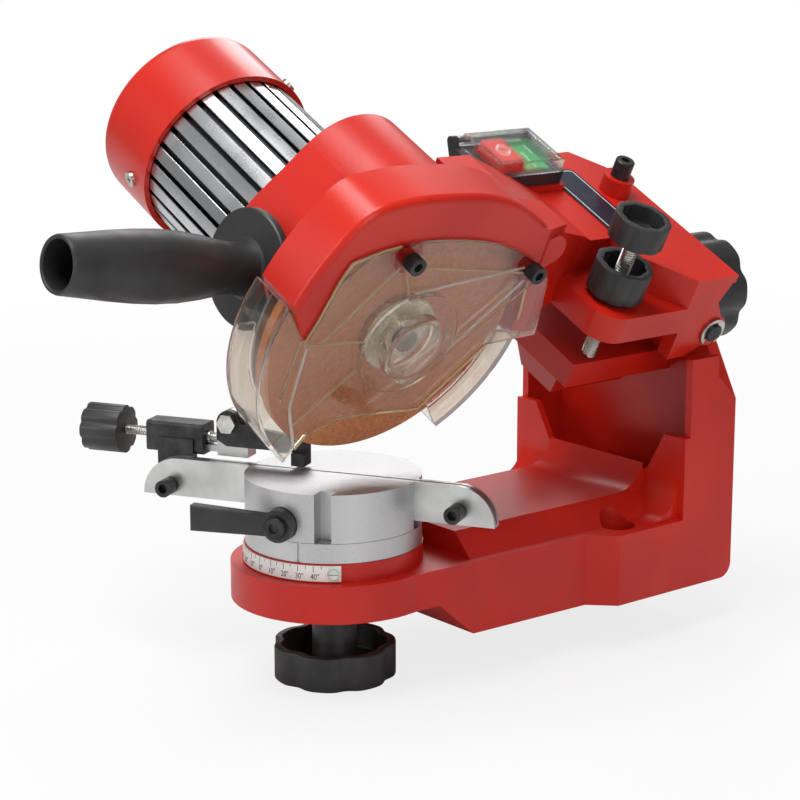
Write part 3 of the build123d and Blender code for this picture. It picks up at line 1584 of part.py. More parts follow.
with BuildPart() as end_cap:
    with BuildSketch(across.offset(cap_left)):
        with Locations(wheel_at):
            Circle(cap_radius)
    extrude(amount=cap_right - cap_left)
    left_rim = edges().filter_by(GeomType.CIRCLE).sort_by(Axis((0, 0, 0), right_dir))[0]
    fillet(left_rim, radius=cap_edge_radius)
    with BuildSketch(across.offset(cap_left + cap_wall)):
        with Locations(wheel_at):
            Circle(cap_inner)
            Circle(cap_hub_radius, mode=Mode.SUBTRACT)
    extrude(amount=cap_right - cap_left, mode=Mode.SUBTRACT)
    bearing_start = cap_left + 2 * rear_bearing_width / 3
    with BuildSketch(across.offset(bearing_start)):
        with Locations(wheel_at):
            Circle(rear_bearing_radius)
    extrude(amount=cap_right - cap_left, mode=Mode.SUBTRACT)
    with BuildSketch(across.offset(bearing_start + rear_bearing_width)):
        with Locations(wheel_at):
            Circle(cap_hub_radius + over)
    extrude(amount=cap_right - cap_left, mode=Mode.SUBTRACT)
    # air slots in the end
    with BuildSketch(across.offset(cap_left - over)):
        with Locations(wheel_at):
            with PolarLocations((cap_vent_inner + cap_vent_outer) / 2, cap_vents):
                SlotOverall(cap_vent_outer - cap_vent_inner, cap_vent_width)
    extrude(amount=cap_wall + 2 * over, mode=Mode.SUBTRACT)
    for angle in cap_screw_angles:
        outward = Vector(0, cos(radians(angle)), 0) + sin(radians(angle)) * Vector(*up_dir)
        start = Vector(*head_point(cap_screw_u, wheel_y, wheel_w)) + (cap_radius + over) * outward
        with BuildSketch(Plane(origin=start, z_dir=outward)):
            Circle(cap_screw_radius)
        extrude(amount=-2 * cap_wall, mode=Mode.SUBTRACT)
end_cap.part.label = "end_cap"
export_step(end_cap.part, "parts/end_cap.step")

with BuildPart() as cap_screws:
    for angle in cap_screw_angles:
        outward = Vector(0, cos(radians(angle)), 0) + sin(radians(angle)) * Vector(*up_dir)
        start = Vector(*head_point(cap_screw_u, wheel_y, wheel_w)) + cap_radius * outward
        screw_plane = Plane(origin=start, z_dir=outward)
        with BuildSketch(screw_plane):
            Circle(cap_screw_head)
        extrude(amount=cap_screw_radius)
        with BuildSketch(screw_plane):
            Circle(cap_screw_radius)
        extrude(amount=-cap_wall - cap_screw_radius)
        with BuildSketch(screw_plane.offset(cap_screw_radius)):
            Rectangle(cap_screw_head, cap_screw_radius / 3)
            Rectangle(cap_screw_radius / 3, cap_screw_head)
        extrude(amount=-cap_screw_radius / 2, mode=Mode.SUBTRACT)
cap_screws.part.label = "cap_screws"
export_step(cap_screws.part, "parts/cap_screws.step")

with BuildPart() as stator:
    with BuildSketch(across.offset(stator_left)):
        with Locations(wheel_at):
            Circle(tube_inner)
            Circle(stator_bore, mode=Mode.SUBTRACT)
    extrude(amount=stator_right - stator_left)
stator.part.label = "stator"
export_step(stator.part, "parts/stator.step")

with BuildPart() as windings:
    for winding_left in (stator_left - winding_overhang, stator_right):
        with BuildSketch(across.offset(winding_left)):
            with Locations(wheel_at):
                Circle(winding_outer)
                Circle(winding_inner, mode=Mode.SUBTRACT)
        extrude(amount=winding_overhang)
    fillet(edges().filter_by(GeomType.CIRCLE), radius=winding_overhang / 4)
windings.part.label = "windings"
export_step(windings.part, "parts/windings.step")

with BuildPart() as bearings:
    for start_u, outer, width in (
        (bearing_left, bearing_radius, bearing_width),
        (bearing_start, rear_bearing_radius, rear_bearing_width),
    ):
        with BuildSketch(across.offset(start_u)):
            with Locations(wheel_at):
                Circle(outer)
                Circle(shaft_radius + fit, mode=Mode.SUBTRACT)
        extrude(amount=width)
bearings.part.label = "bearings"
export_step(bearings.part, "parts/bearings.step")

with BuildPart() as capacitor:
    with BuildSketch(across.offset(capacitor_left)):
        with Locations((dome_y, dome_w + dome_radius / 2)):
            Circle(capacitor_radius)
    extrude(amount=capacitor_length)
capacitor.part.label = "capacitor"
export_step(capacitor.part, "parts/capacitor.step")

# ---- rotor: shaft with core, fan, flanges, wheel and nut ----
wheel_left = wheel_u - wheel_thickness / 2
wheel_right = wheel_u + wheel_thickness / 2
nut_start = wheel_right + outer_flange_thickness
with BuildPart() as rotor_shaft:
    with BuildSketch(across.offset(bearing_start + seat_gap)):
        with Locations(wheel_at):
            Circle(shaft_radius)
    extrude(amount=shaft_end - bearing_start - seat_gap)
    chamfer(edges().filter_by(GeomType.CIRCLE), length=shaft_radius / 8)
    with BuildSketch(across.offset(rotor_left)):
        with Locations(wheel_at):
            Circle(rotor_radius)
    extrude(amount=rotor_right - rotor_left)
rotor_shaft.part.label = "rotor_shaft"
export_step(rotor_shaft.part, "parts/rotor_shaft.step")

with BuildPart() as fan:
    fan_left = housing_left + over
    with BuildSketch(across.offset(fan_left)):
        with Locations(wheel_at):
            Circle(fan_hub_radius)
            with PolarLocations(fan_radius / 2, fan_blades):
                Rectangle(fan_radius, cap_wall)
            Circle(shaft_radius, mode=Mode.SUBTRACT)
    extrude(amount=fan_width)
    with BuildSketch(across.offset(fan_left + fan_width)):
        with Locations(wheel_at):
            Circle(fan_radius)
            Circle(shaft_radius, mode=Mode.SUBTRACT)
    extrude(amount=cap_wall / 2)
fan.part.label = "fan"
export_step(fan.part, "parts/fan.step")

with BuildPart() as inner_flange:
    with BuildSketch(across.offset(wheel_left - flange_thickness)):
        with Locations(wheel_at):
            Circle(flange_radius)
            Circle(shaft_radius, mode=Mode.SUBTRACT)
    extrude(amount=flange_thickness)
    # spigot that centres the wheel
    with BuildSketch(across.offset(wheel_left)):
        with Locations(wheel_at):
            Circle(wheel_bore_radius)
            Circle(shaft_radius, mode=Mode.SUBTRACT)
    extrude(amount=wheel_thickness / 2)
inner_flange.part.label = "inner_flange"
export_step(inner_flange.part, "parts/inner_flange.step")

with BuildPart() as grinding_wheel:
    with BuildSketch(across.offset(wheel_left)):
        with Locations(wheel_at):
            Circle(wheel_radius)
            Circle(wheel_bore_radius, mode=Mode.SUBTRACT)
    extrude(amount=wheel_thickness)
grinding_wheel.part.label = "grinding_wheel"
export_step(grinding_wheel.part, "parts/grinding_wheel.step")

with BuildPart() as outer_flange:
    with BuildSketch(across.offset(wheel_right)):
        with Locations(wheel_at):
            Circle(outer_flange_radius)
            Circle(shaft_radius, mode=Mode.SUBTRACT)
    extrude(amount=outer_flange_thickness)
outer_flange.part.label = "outer_flange"
export_step(outer_flange.part, "parts/outer_flange.step")

with BuildPart() as arbor_nut:
    with BuildSketch(across.offset(nut_start)):
        with Locations(wheel_at):
            RegularPolygon(nut_across / sqrt(3), 6)
            Circle(shaft_radius, mode=Mode.SUBTRACT)
    extrude(amount=nut_height)
arbor_nut.part.label = "arbor_nut"
export_step(arbor_nut.part, "parts/arbor_nut.step")

# ---- guards ----
with BuildPart() as inner_plate:
    with BuildSketch(across.offset(cavity_left)):
        with Locations(wheel_at):
            Circle(plate_radius)
            Circle(plate_bore, mode=Mode.SUBTRACT)
        with Locations((wheel_y, plate_low - plate_radius)):
            Rectangle(2 * plate_radius, 2 * plate_radius, mode=Mode.SUBTRACT)
    extrude(amount=plate_thickness)
inner_plate.part.label = "inner_plate"
export_step(inner_plate.part, "parts/inner_plate.step")

guard_face = hood_right + guard_proud
guard_inner_face = guard_face - guard_thickness
arc_start = circle_point(wheel_at, guard_band_radius, guard_band_from)
arc_end = circle_point(wheel_at, guard_band_radius, guard_band_to)
arc_middle = circle_point(wheel_at, guard_band_radius, (guard_band_from + guard_band_to) / 2)
with BuildPart() as guard_cover:
    with BuildSketch(across.offset(guard_inner_face)):
        with BuildLine():
            ThreePointArc(arc_start, arc_middle, arc_end)
            Polyline(arc_end, *guard_lower, guard_edge[-1])
            Polyline(arc_start, *guard_edge[:guard_curve_from + 1])
            Spline(*guard_edge[guard_curve_from:guard_curve_to + 1])
            Polyline(*guard_edge[guard_curve_to:])
        make_face()
    extrude(amount=guard_thickness)
    # round band over the front of the wheel and the cheek on its left
    with BuildSketch(across.offset(guard_band_left)):
        with Locations(wheel_at):
            Circle(guard_band_radius)
            Circle(guard_band_radius - guard_band_wall, mode=Mode.SUBTRACT)
        with BuildLine():
            Polyline(
                wheel_at,
                circle_point(wheel_at, 2 * guard_band_radius, guard_band_from),
                circle_point(wheel_at, 2 * guard_band_radius, guard_band_to),
                wheel_at,
            )
        make_face(mode=Mode.INTERSECT)
    extrude(amount=guard_inner_face - guard_band_left)
    with BuildSketch(across.offset(guard_band_left)):
        with Locations(wheel_at):
            Circle(guard_band_radius)
            Circle(guard_cheek_inner, mode=Mode.SUBTRACT)
        with BuildLine():
            Polyline(
                wheel_at,
                circle_point(wheel_at, 2 * guard_band_radius, guard_cheek_from),
                circle_point(wheel_at, 2 * guard_band_radius, guard_band_to),
                wheel_at,
            )
        make_face(mode=Mode.INTERSECT)
    extrude(amount=guard_thickness)
    # boss over the arbor nut, ribs and the arm to the rear screw
    with BuildSketch(across.offset(guard_face)):
        with Locations(wheel_at):
            for angle in guard_rib_angles:
                with Locations(Rotation(0, 0, angle)):
                    with Locations((guard_cheek_inner / 2, 0)):
                        Rectangle(guard_cheek_inner, guard_rib)
        with Locations(guard_screw_a):
            Circle(guard_tab_radius)
        with BuildLine():
            CenterArc(wheel_at, boss_radius, 0, 360)
            CenterArc(guard_screw_b, guard_arm_half, 0, 360)
        make_hull()
        with BuildLine():
            ThreePointArc(arc_start, arc_middle, arc_end)
            Polyline(arc_end, *guard_lower, guard_edge[-1])
            Polyline(arc_start, *guard_edge[:guard_curve_from + 1])
            Spline(*guard_edge[guard_curve_from:guard_curve_to + 1])
            Polyline(*guard_edge[guard_curve_to:])
        make_face(mode=Mode.INTERSECT)
    extrude(amount=guard_rib)
    with BuildSketch(across.offset(guard_face)):
        with Locations(wheel_at):
            Circle(boss_radius)
    extrude(amount=guard_boss_height)
    with BuildSketch(across.offset(guard_face)):
        with Locations(wheel_at):
            Circle(boss_nose_radius)
    extrude(amount=boss_front - guard_face)
    with BuildSketch(across.offset(guard_inner_face - over)):
        with Locations(wheel_at):
            Circle(guard_boss_bore)
    extrude(amount=boss_front - guard_inner_face - guard_thickness, mode=Mode.SUBTRACT)
    with BuildSketch(across.offset(guard_inner_face - over)):
        with Locations(guard_screw_a, guard_screw_b):
            Circle(guard_screw_radius)
    extrude(amount=vise_radius, mode=Mode.SUBTRACT)
guard_cover.part.label = "guard_cover"
export_step(guard_cover.part, "parts/guard_cover.step")

with BuildPart() as rear_guard:
    for start_u, inner, width in (
        (cavity_left, crescent_outer - crescent_wall, cavity_right - cavity_left),
        (cavity_right - guard_thickness, crescent_inner, guard_thickness),
    ):
        with BuildSketch(across.offset(start_u)):
            with Locations(wheel_at):
                Circle(crescent_outer)
                Circle(inner, mode=Mode.SUBTRACT)
            with BuildLine():
                Polyline(
                    wheel_at,
                    circle_point(wheel_at, 2 * crescent_outer, crescent_from),
                    (guard_edge[-1][0] + crescent_outer, guard_edge[-1][1] - over),
                    guard_edge[-1],
                    wheel_at,
                )
            make_face(mode=Mode.INTERSECT)
        extrude(amount=width)
rear_guard.part.label = "rear_guard"
export_step(rear_guard.part, "parts/rear_guard.step")

with BuildPart() as guard_screws:
    for screw_at in (guard_screw_a, guard_screw_b):
        seat_u = guard_face + guard_rib
        with BuildSketch(across.offset(seat_u)):
            with Locations(screw_at):
                Circle(guard_screw_head)
        extrude(amount=guard_screw_head_length)
        with BuildSketch(across.offset(seat_u)):
            with Locations(screw_at):
                Circle(guard_screw_radius)
        extrude(amount=tab_left - seat_u)
        with BuildSketch(across.offset(seat_u + guard_screw_head_length)):
            with Locations(screw_at):
                RegularPolygon(guard_screw_radius, 6)
        extrude(amount=-guard_screw_head_length / 2, mode=Mode.SUBTRACT)
guard_screws.part.label = "guard_screws"
export_step(guard_screws.part, "parts/guard_screws.step")

# ---- handle ----
grip_side = Plane(
    origin=head_point(handle_u, handle_y, handle_w),
    x_dir=grip_dir,
    z_dir=right_dir,
)
with BuildPart() as handle_grip:
    with BuildSketch(grip_side):
        with BuildLine():
            flange_edge = (handle_flange_thickness, handle_flange_radius)
            neck_start = (handle_flange_thickness, handle_neck_radius + 2 * over)
            rim = (handle_length, handle_end_radius)
            Polyline((0, 0), (0, handle_flange_radius), flange_edge, neck_start)
            Spline(
                neck_start,
                (handle_neck_at, handle_neck_radius),
                (handle_swell_at, handle_swell_radius),
                rim,
            )
            Polyline(
                rim,
                (handle_length, handle_bore_radius),
                (handle_length - handle_bore_depth, handle_bore_radius),
                (handle_length - handle_bore_depth, 0),
                (0, 0),
            )
        make_face()
    revolve(axis=Axis(head_point(handle_u, handle_y, handle_w), grip_dir))
    with BuildSketch(grip_face):
        Circle(handle_stud_radius)
    extrude(amount=handle_stud_reach, mode=Mode.SUBTRACT)
handle_grip.part.label = "handle_grip"
export_step(handle_grip.part, "parts/handle_grip.step")

with BuildPart() as handle_stud:
    with BuildSketch(grip_face.offset(handle_stud_reach)):
        Circle(handle_stud_radius)
    extrude(amount=-(handle_stud_reach + handle_boss_length / 2))
handle_stud.part.label = "handle_stud"
export_step(handle_stud.part, "parts/handle_stud.step")

# ---- switch: contact block, frame, two buttons, flap on its pin ----
switch_middle_u = (switch_left + switch_right) / 2
switch_middle_y = (switch_front + switch_rear) / 2
button_middle_u = (button_left + button_right) / 2
button_width = button_right - button_left
off_middle_y = (off_front + off_rear) / 2
on_middle_y = (on_front + on_rear) / 2
frame_top = plinth_top + switch_height
with BuildPart() as contact_block:
    with BuildSketch(deck.offset(switch_box_low + switch_box_wall)):
        with Locations((button_middle_u, switch_middle_y)):
            Rectangle(button_width, on_rear - off_front + 2 * over)
    extrude(amount=contact_top - switch_box_low - switch_box_wall)
contact_block.part.label = "contact_block"
export_step(contact_block.part, "parts/contact_block.step")

ear_rows = (switch_front, switch_rear - flap_ear_length)
with BuildPart() as switch_frame:
    with BuildSketch(deck.offset(plinth_top)):
        with Locations((switch_middle_u, switch_middle_y)):
            RectangleRounded(switch_right - switch_left, switch_rear - switch_front, switch_corner)
        with Locations((button_middle_u, off_middle_y)):
            Rectangle(
                button_width + 2 * button_gap,
                off_rear - off_front + 2 * button_gap,
                mode=Mode.SUBTRACT,
            )
        with Locations((button_middle_u, on_middle_y)):
            Rectangle(
                button_width + 2 * button_gap,
                on_rear - on_front + 2 * button_gap,
                mode=Mode.SUBTRACT,
            )
    extrude(amount=switch_height)
    # ears that hold the flap's pin
    for ear_front in ear_rows:
        with BuildSketch(facing.offset(-ear_front)):
            with BuildLine():
                CenterArc((flap_pin_u, flap_pin_w), flap_ear_half, 0, 360)
                Polyline(
                    (switch_left, plinth_top + over),
                    (switch_left + switch_corner, plinth_top + over),
                    (switch_left + switch_corner, frame_top),
                    (switch_left, plinth_top + over),
                )
            make_hull()
        extrude(amount=-flap_ear_length)
    with BuildSketch(facing.offset(-switch_front + over)):
        with Locations((flap_pin_u, flap_pin_w)):
            Circle(flap_pin_radius)
    extrude(amount=-(switch_rear - switch_front + 2 * over), mode=Mode.SUBTRACT)
switch_frame.part.label = "switch_frame"
export_step(switch_frame.part, "parts/switch_frame.step")

with BuildPart() as off_button:
    with BuildSketch(deck.offset(button_stem_low + button_flange_height)):
        with Locations((button_middle_u, off_middle_y)):
            Rectangle(button_width, off_rear - off_front)
    extrude(amount=off_top - button_stem_low - button_flange_height)
    fillet(faces().sort_by(Axis((0, 0, 0), up_dir))[-1].edges(), radius=over)
    with BuildSketch(deck.offset(button_stem_low)):
        with Locations((button_middle_u, off_middle_y)):
            Rectangle(button_width + button_flange, off_rear - off_front + button_flange)
    extrude(amount=button_flange_height)
off_button.part.label = "off_button"
export_step(off_button.part, "parts/off_button.step")

with BuildPart() as on_button:
    with BuildSketch(deck.offset(button_stem_low + button_flange_height)):
        with Locations((button_middle_u, on_middle_y)):
            Rectangle(button_width, on_rear - on_front)
    extrude(amount=on_top - button_stem_low - button_flange_height)
    fillet(faces().sort_by(Axis((0, 0, 0), up_dir))[-1].edges(), radius=over / 2)
    with BuildSketch(deck.offset(button_stem_low)):
        with Locations((button_middle_u, on_middle_y)):
            Rectangle(button_width + button_flange, on_rear - on_front + button_flange)
    extrude(amount=button_flange_height)
on_button.part.label = "on_button"
export_step(on_button.part, "parts/on_button.step")

with BuildPart() as flap_pin:
    with BuildSketch(facing.offset(-switch_front)):
        with Locations((flap_pin_u, flap_pin_w)):
            Circle(flap_pin_radius)
    extrude(amount=-(switch_rear - switch_front))
flap_pin.part.label = "flap_pin"
export_step(flap_pin.part, "parts/flap_pin.step")

flap_bottom = frame_top + seat_gap
flap_top = off_top + flap_clear
flap_length = flap_rear - flap_front
flap_middle_y = (flap_front + flap_rear) / 2
with BuildPart() as switch_flap:
    with BuildSketch(deck.offset(flap_bottom)):
        with Locations((switch_middle_u, flap_middle_y)):
            Rectangle(switch_right - switch_left, flap_length)
    extrude(amount=flap_top + flap_wall - flap_bottom)
    fillet(faces().sort_by(Axis((0, 0, 0), up_dir))[-1].edges(), radius=flap_wall)
    with BuildSketch(deck.offset(flap_bottom)):
        with Locations((switch_middle_u, flap_middle_y)):
            Rectangle(switch_right - switch_left - 2 * flap_wall, flap_length - 2 * flap_wall)
    extrude(amount=flap_top - flap_bottom, mode=Mode.SUBTRACT)
    with BuildSketch(facing.offset(-flap_front)):
        with Locations((flap_pin_u, flap_pin_w)):
            Circle(flap_barrel_radius)
        with Locations(((flap_pin_u + switch_left + flap_wall) / 2, flap_pin_w)):
            Rectangle(switch_left + flap_wall - flap_pin_u, flap_wall)
    extrude(amount=-flap_length)
    with BuildSketch(facing.offset(-flap_front + over)):
        with Locations((flap_pin_u, flap_pin_w)):
            Circle(flap_pin_radius + fit)
    extrude(amount=-(flap_length + 2 * over), mode=Mode.SUBTRACT)
switch_flap.part.label = "switch_flap"
export_step(switch_flap.part, "parts/switch_flap.step")

# ---- label plate and the screw that sets the lift spring ----
with BuildPart() as label_plate:
    with BuildSketch(deck.offset(deck_top)):
        with Locations(((label_left + label_right) / 2, (label_front + label_rear) / 2)):
            RectangleRounded(label_right - label_left, label_rear - label_front, label_corner)
    extrude(amount=label_thickness)
label_plate.part.label = "label_plate"
export_step(label_plate.part, "parts/label_plate.step")

with BuildPart() as spring_screw:
    spring_screw_bottom = spring_top + free_gap
    with BuildSketch(deck.offset(limit_boss_top)):
        with Locations(limit_at):
            Circle(limit_head_radius)
    extrude(amount=limit_head_height)
    chamfer(edges().filter_by(GeomType.CIRCLE).sort_by(Axis((0, 0, 0), up_dir))[-1], length=over / 2)
    with BuildSketch(deck.offset(limit_boss_top)):
        with Locations(limit_at):
            Circle(limit_screw_radius)
    extrude(amount=spring_screw_bottom - limit_boss_top)
    with BuildSketch(deck.offset(limit_boss_top + limit_head_height)):
        with Locations(limit_at):
            RegularPolygon(limit_socket_radius, 6)
    extrude(amount=-limit_head_height / 2, mode=Mode.SUBTRACT)
spring_screw.part.label = "spring_screw"
export_step(spring_screw.part, "parts/spring_screw.step")

# ---- depth stop: threaded rod, lock knob on the shelf, setting knob at the top ----
lock_foot = shelf_top + seat_gap
with BuildPart() as depth_rod:
    with BuildSketch(deck.offset(depth_bottom)):
        with Locations(rod_at):
            Circle(depth_radius)
    extrude(amount=depth_top - depth_bottom)
    chamfer(edges().filter_by(GeomType.CIRCLE), length=depth_radius / 5)
depth_rod.part.label = "depth_rod"
export_step(depth_rod.part, "parts/depth_rod.step")

with BuildPart() as lock_knob:
    lock_body = lock_foot + lock_collar_height
    with BuildSketch(deck.offset(lock_body)):
        with Locations(rod_at):
            Circle(lock_radius)
            with PolarLocations(lock_radius + small_knob_wall / 2, small_knob_lobes):
                Circle(small_knob_wall, mode=Mode.SUBTRACT)
    extrude(amount=lock_top - lock_body)
    with BuildSketch(deck.offset(lock_top)):
        with Locations(rod_at):
            Circle(lock_radius - 2 * small_knob_wall + over)
            Circle(depth_radius + 2 * over, mode=Mode.SUBTRACT)
    extrude(amount=-(lock_top - lock_body - small_knob_wall), mode=Mode.SUBTRACT)
    with BuildSketch(deck.offset(lock_foot)):
        with Locations(rod_at):
            Circle(lock_collar_radius)
    extrude(amount=lock_collar_height)
    with BuildSketch(deck.offset(lock_foot - over)):
        with Locations(rod_at):
            Circle(depth_radius + fit)
    extrude(amount=lock_top - lock_foot + 2 * over, mode=Mode.SUBTRACT)
lock_knob.part.label = "lock_knob"
export_step(lock_knob.part, "parts/lock_knob.step")

with BuildPart() as depth_knob:
    with BuildSketch(deck.offset(depth_knob_bottom)):
        with Locations(rod_at):
            Circle(depth_knob_radius)
            with PolarLocations(depth_knob_radius + small_knob_wall / 2, small_knob_lobes):
                Circle(small_knob_wall, mode=Mode.SUBTRACT)
    extrude(amount=depth_knob_top - depth_knob_bottom)
    with BuildSketch(deck.offset(depth_knob_top)):
        with Locations(rod_at):
            Circle(depth_knob_radius - 2 * small_knob_wall + over)
            Circle(depth_radius + 2 * over, mode=Mode.SUBTRACT)
    extrude(amount=-(depth_knob_top - depth_knob_bottom - small_knob_wall), mode=Mode.SUBTRACT)
    with BuildSketch(deck.offset(depth_knob_bottom - over)):
        with Locations(rod_at):
            Circle(depth_radius + fit)
    extrude(amount=depth_knob_top - depth_knob_bottom + 2 * over, mode=Mode.SUBTRACT)
depth_knob.part.label = "depth_knob"
export_step(depth_knob.part, "parts/depth_knob.step")
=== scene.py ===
import bpy
from math import atan2, cos, pi, radians, sin
from mathutils import Matrix, Vector


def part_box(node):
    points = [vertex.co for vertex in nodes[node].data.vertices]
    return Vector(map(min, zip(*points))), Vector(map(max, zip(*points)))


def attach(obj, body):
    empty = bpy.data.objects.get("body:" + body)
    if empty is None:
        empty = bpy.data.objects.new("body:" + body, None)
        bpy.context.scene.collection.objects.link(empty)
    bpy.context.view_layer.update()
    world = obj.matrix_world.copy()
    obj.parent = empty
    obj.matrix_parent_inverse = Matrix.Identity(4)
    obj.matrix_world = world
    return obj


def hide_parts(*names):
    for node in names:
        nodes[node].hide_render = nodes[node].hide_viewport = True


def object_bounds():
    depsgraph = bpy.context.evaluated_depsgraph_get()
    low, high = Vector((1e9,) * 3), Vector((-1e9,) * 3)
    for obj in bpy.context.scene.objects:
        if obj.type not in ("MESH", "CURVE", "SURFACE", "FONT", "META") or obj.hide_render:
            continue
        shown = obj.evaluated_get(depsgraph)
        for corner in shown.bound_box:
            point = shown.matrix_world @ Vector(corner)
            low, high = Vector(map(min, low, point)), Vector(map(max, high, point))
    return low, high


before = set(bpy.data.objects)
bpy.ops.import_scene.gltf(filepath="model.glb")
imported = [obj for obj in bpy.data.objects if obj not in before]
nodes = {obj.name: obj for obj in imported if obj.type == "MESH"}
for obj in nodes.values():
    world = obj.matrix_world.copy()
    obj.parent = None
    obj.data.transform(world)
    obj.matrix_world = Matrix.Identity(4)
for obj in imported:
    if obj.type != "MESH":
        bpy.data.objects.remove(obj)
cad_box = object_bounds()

bpy.ops.object.select_all(action="DESELECT")

# Base casting: one aluminium casting with the column, bolted down through two holes in its foot.
# It is powder coated in a satin red with a fine orange peel, and so are the bracket and the head.
drift = bpy.data.node_groups.new("colour drift", "ShaderNodeTree")
for label, kind, value in (
    ("Light", "NodeSocketColor", (0.8, 0.8, 0.8, 1.0)),
    ("Dark", "NodeSocketColor", (0.6, 0.6, 0.6, 1.0)),
    ("Scale", "NodeSocketFloat", 40.0),
    ("Smooth", "NodeSocketFloat", 0.3),
    ("Rough", "NodeSocketFloat", 0.5),
):
    drift.interface.new_socket(name=label, in_out="INPUT", socket_type=kind).default_value = value
drift.interface.new_socket(name="Color", in_out="OUTPUT", socket_type="NodeSocketColor")
drift.interface.new_socket(name="Roughness", in_out="OUTPUT", socket_type="NodeSocketFloat")
drift_in = drift.nodes.new("NodeGroupInput")
drift_out = drift.nodes.new("NodeGroupOutput")
where = drift.nodes.new("ShaderNodeTexCoord")
cloud = drift.nodes.new("ShaderNodeTexNoise")
cloud.inputs["Detail"].default_value = 5.0
spread = drift.nodes.new("ShaderNodeMapRange")
spread.inputs["From Min"].default_value = 0.3
spread.inputs["From Max"].default_value = 0.7
two_tones = drift.nodes.new("ShaderNodeMix")
two_tones.data_type = "RGBA"
gloss_range = drift.nodes.new("ShaderNodeMapRange")
drift.links.new(where.outputs["Object"], cloud.inputs["Vector"])
drift.links.new(drift_in.outputs["Scale"], cloud.inputs["Scale"])
drift.links.new(cloud.outputs["Fac"], spread.inputs["Value"])
drift.links.new(spread.outputs["Result"], two_tones.inputs["Factor"])
drift.links.new(drift_in.outputs["Light"], two_tones.inputs[6])
drift.links.new(drift_in.outputs["Dark"], two_tones.inputs[7])
drift.links.new(two_tones.outputs[2], drift_out.inputs["Color"])
drift.links.new(spread.outputs["Result"], gloss_range.inputs["Value"])
drift.links.new(drift_in.outputs["Smooth"], gloss_range.inputs["To Min"])
drift.links.new(drift_in.outputs["Rough"], gloss_range.inputs["To Max"])
drift.links.new(gloss_range.outputs["Result"], drift_out.inputs["Roughness"])

grain = bpy.data.node_groups.new("surface grain", "ShaderNodeTree")
for label, kind, value in (
    ("Fine", "NodeSocketFloat", 900.0),
    ("Coarse", "NodeSocketFloat", 120.0),
    ("Share", "NodeSocketFloat", 0.3),
    ("Turn", "NodeSocketVector", (0.0, 0.0, 0.0)),
    ("Stretch", "NodeSocketVector", (1.0, 1.0, 1.0)),
):
    grain.interface.new_socket(name=label, in_out="INPUT", socket_type=kind).default_value = value
grain.interface.new_socket(name="Height", in_out="OUTPUT", socket_type="NodeSocketFloat")
grain_in = grain.nodes.new("NodeGroupInput")
grain_out = grain.nodes.new("NodeGroupOutput")
where = grain.nodes.new("ShaderNodeTexCoord")
turned = grain.nodes.new("ShaderNodeVectorRotate")
turned.rotation_type = "EULER_XYZ"
stretched = grain.nodes.new("ShaderNodeVectorMath")
stretched.operation = "MULTIPLY"
fine = grain.nodes.new("ShaderNodeTexNoise")
coarse = grain.nodes.new("ShaderNodeTexNoise")
both = grain.nodes.new("ShaderNodeMix")
grain.links.new(where.outputs["Object"], turned.inputs["Vector"])
grain.links.new(grain_in.outputs["Turn"], turned.inputs["Rotation"])
grain.links.new(turned.outputs["Vector"], stretched.inputs[0])
grain.links.new(grain_in.outputs["Stretch"], stretched.inputs[1])
for layer, size in ((fine, "Fine"), (coarse, "Coarse")):
    grain.links.new(stretched.outputs["Vector"], layer.inputs["Vector"])
    grain.links.new(grain_in.outputs[size], layer.inputs["Scale"])
grain.links.new(grain_in.outputs["Share"], both.inputs[0])
grain.links.new(fine.outputs["Fac"], both.inputs[2])
grain.links.new(coarse.outputs["Fac"], both.inputs[3])
grain.links.new(both.outputs[0], grain_out.inputs["Height"])


def finish(name, light, dark, patch, gloss, pits, relief, metal=0.0, turn=(0, 0, 0), stretch=(1, 1, 1)):
    """A finish: two tones in patches, a range of gloss, and pits (fine, coarse, share) of a relief."""
    made = bpy.data.materials.new(name)
    made.use_nodes = True
    tree = made.node_tree
    shader = tree.nodes["Principled BSDF"]
    shader.inputs["Metallic"].default_value = metal
    tone = tree.nodes.new("ShaderNodeGroup")
    tone.name = "tone"
    tone.node_tree = drift
    tone.inputs["Light"].default_value = (*light, 1.0)
    tone.inputs["Dark"].default_value = (*dark, 1.0)
    tone.inputs["Scale"].default_value = patch
    tone.inputs["Smooth"].default_value, tone.inputs["Rough"].default_value = gloss
    tree.links.new(tone.outputs["Color"], shader.inputs["Base Color"])
    tree.links.new(tone.outputs["Roughness"], shader.inputs["Roughness"])
    texture = tree.nodes.new("ShaderNodeGroup")
    texture.name = "texture"
    texture.node_tree = grain
    for socket, value in zip(("Fine", "Coarse", "Share"), pits):
        texture.inputs[socket].default_value = value
    texture.inputs["Turn"].default_value = turn
    texture.inputs["Stretch"].default_value = stretch
    bump = tree.nodes.new("ShaderNodeBump")
    bump.inputs["Strength"].default_value, bump.inputs["Distance"].default_value = relief
    tree.links.new(texture.outputs["Height"], bump.inputs["Height"])
    tree.links.new(bump.outputs["Normal"], shader.inputs["Normal"])
    return made


def cover(made, *names):
    """Gives CAD pieces a finish."""
    for name in names:
        for slot in nodes[name].material_slots:
            slot.material = made


red_paint = finish("satin red paint", (0.60, 0.018, 0.006), (0.48, 0.010, 0.005), 18.0, (0.30, 0.42),
                   (750.0, 130.0, 0.45), (0.22, 0.0005))
red_shader = red_paint.node_tree.nodes["Principled BSDF"]
red_shader.inputs["Specular IOR Level"].default_value = 0.35
red_shader.inputs["Coat Weight"].default_value = 0.08
red_shader.inputs["Coat Roughness"].default_value = 0.22
cover(red_paint, "base_casting", "swivel_bracket", "arm_casting")

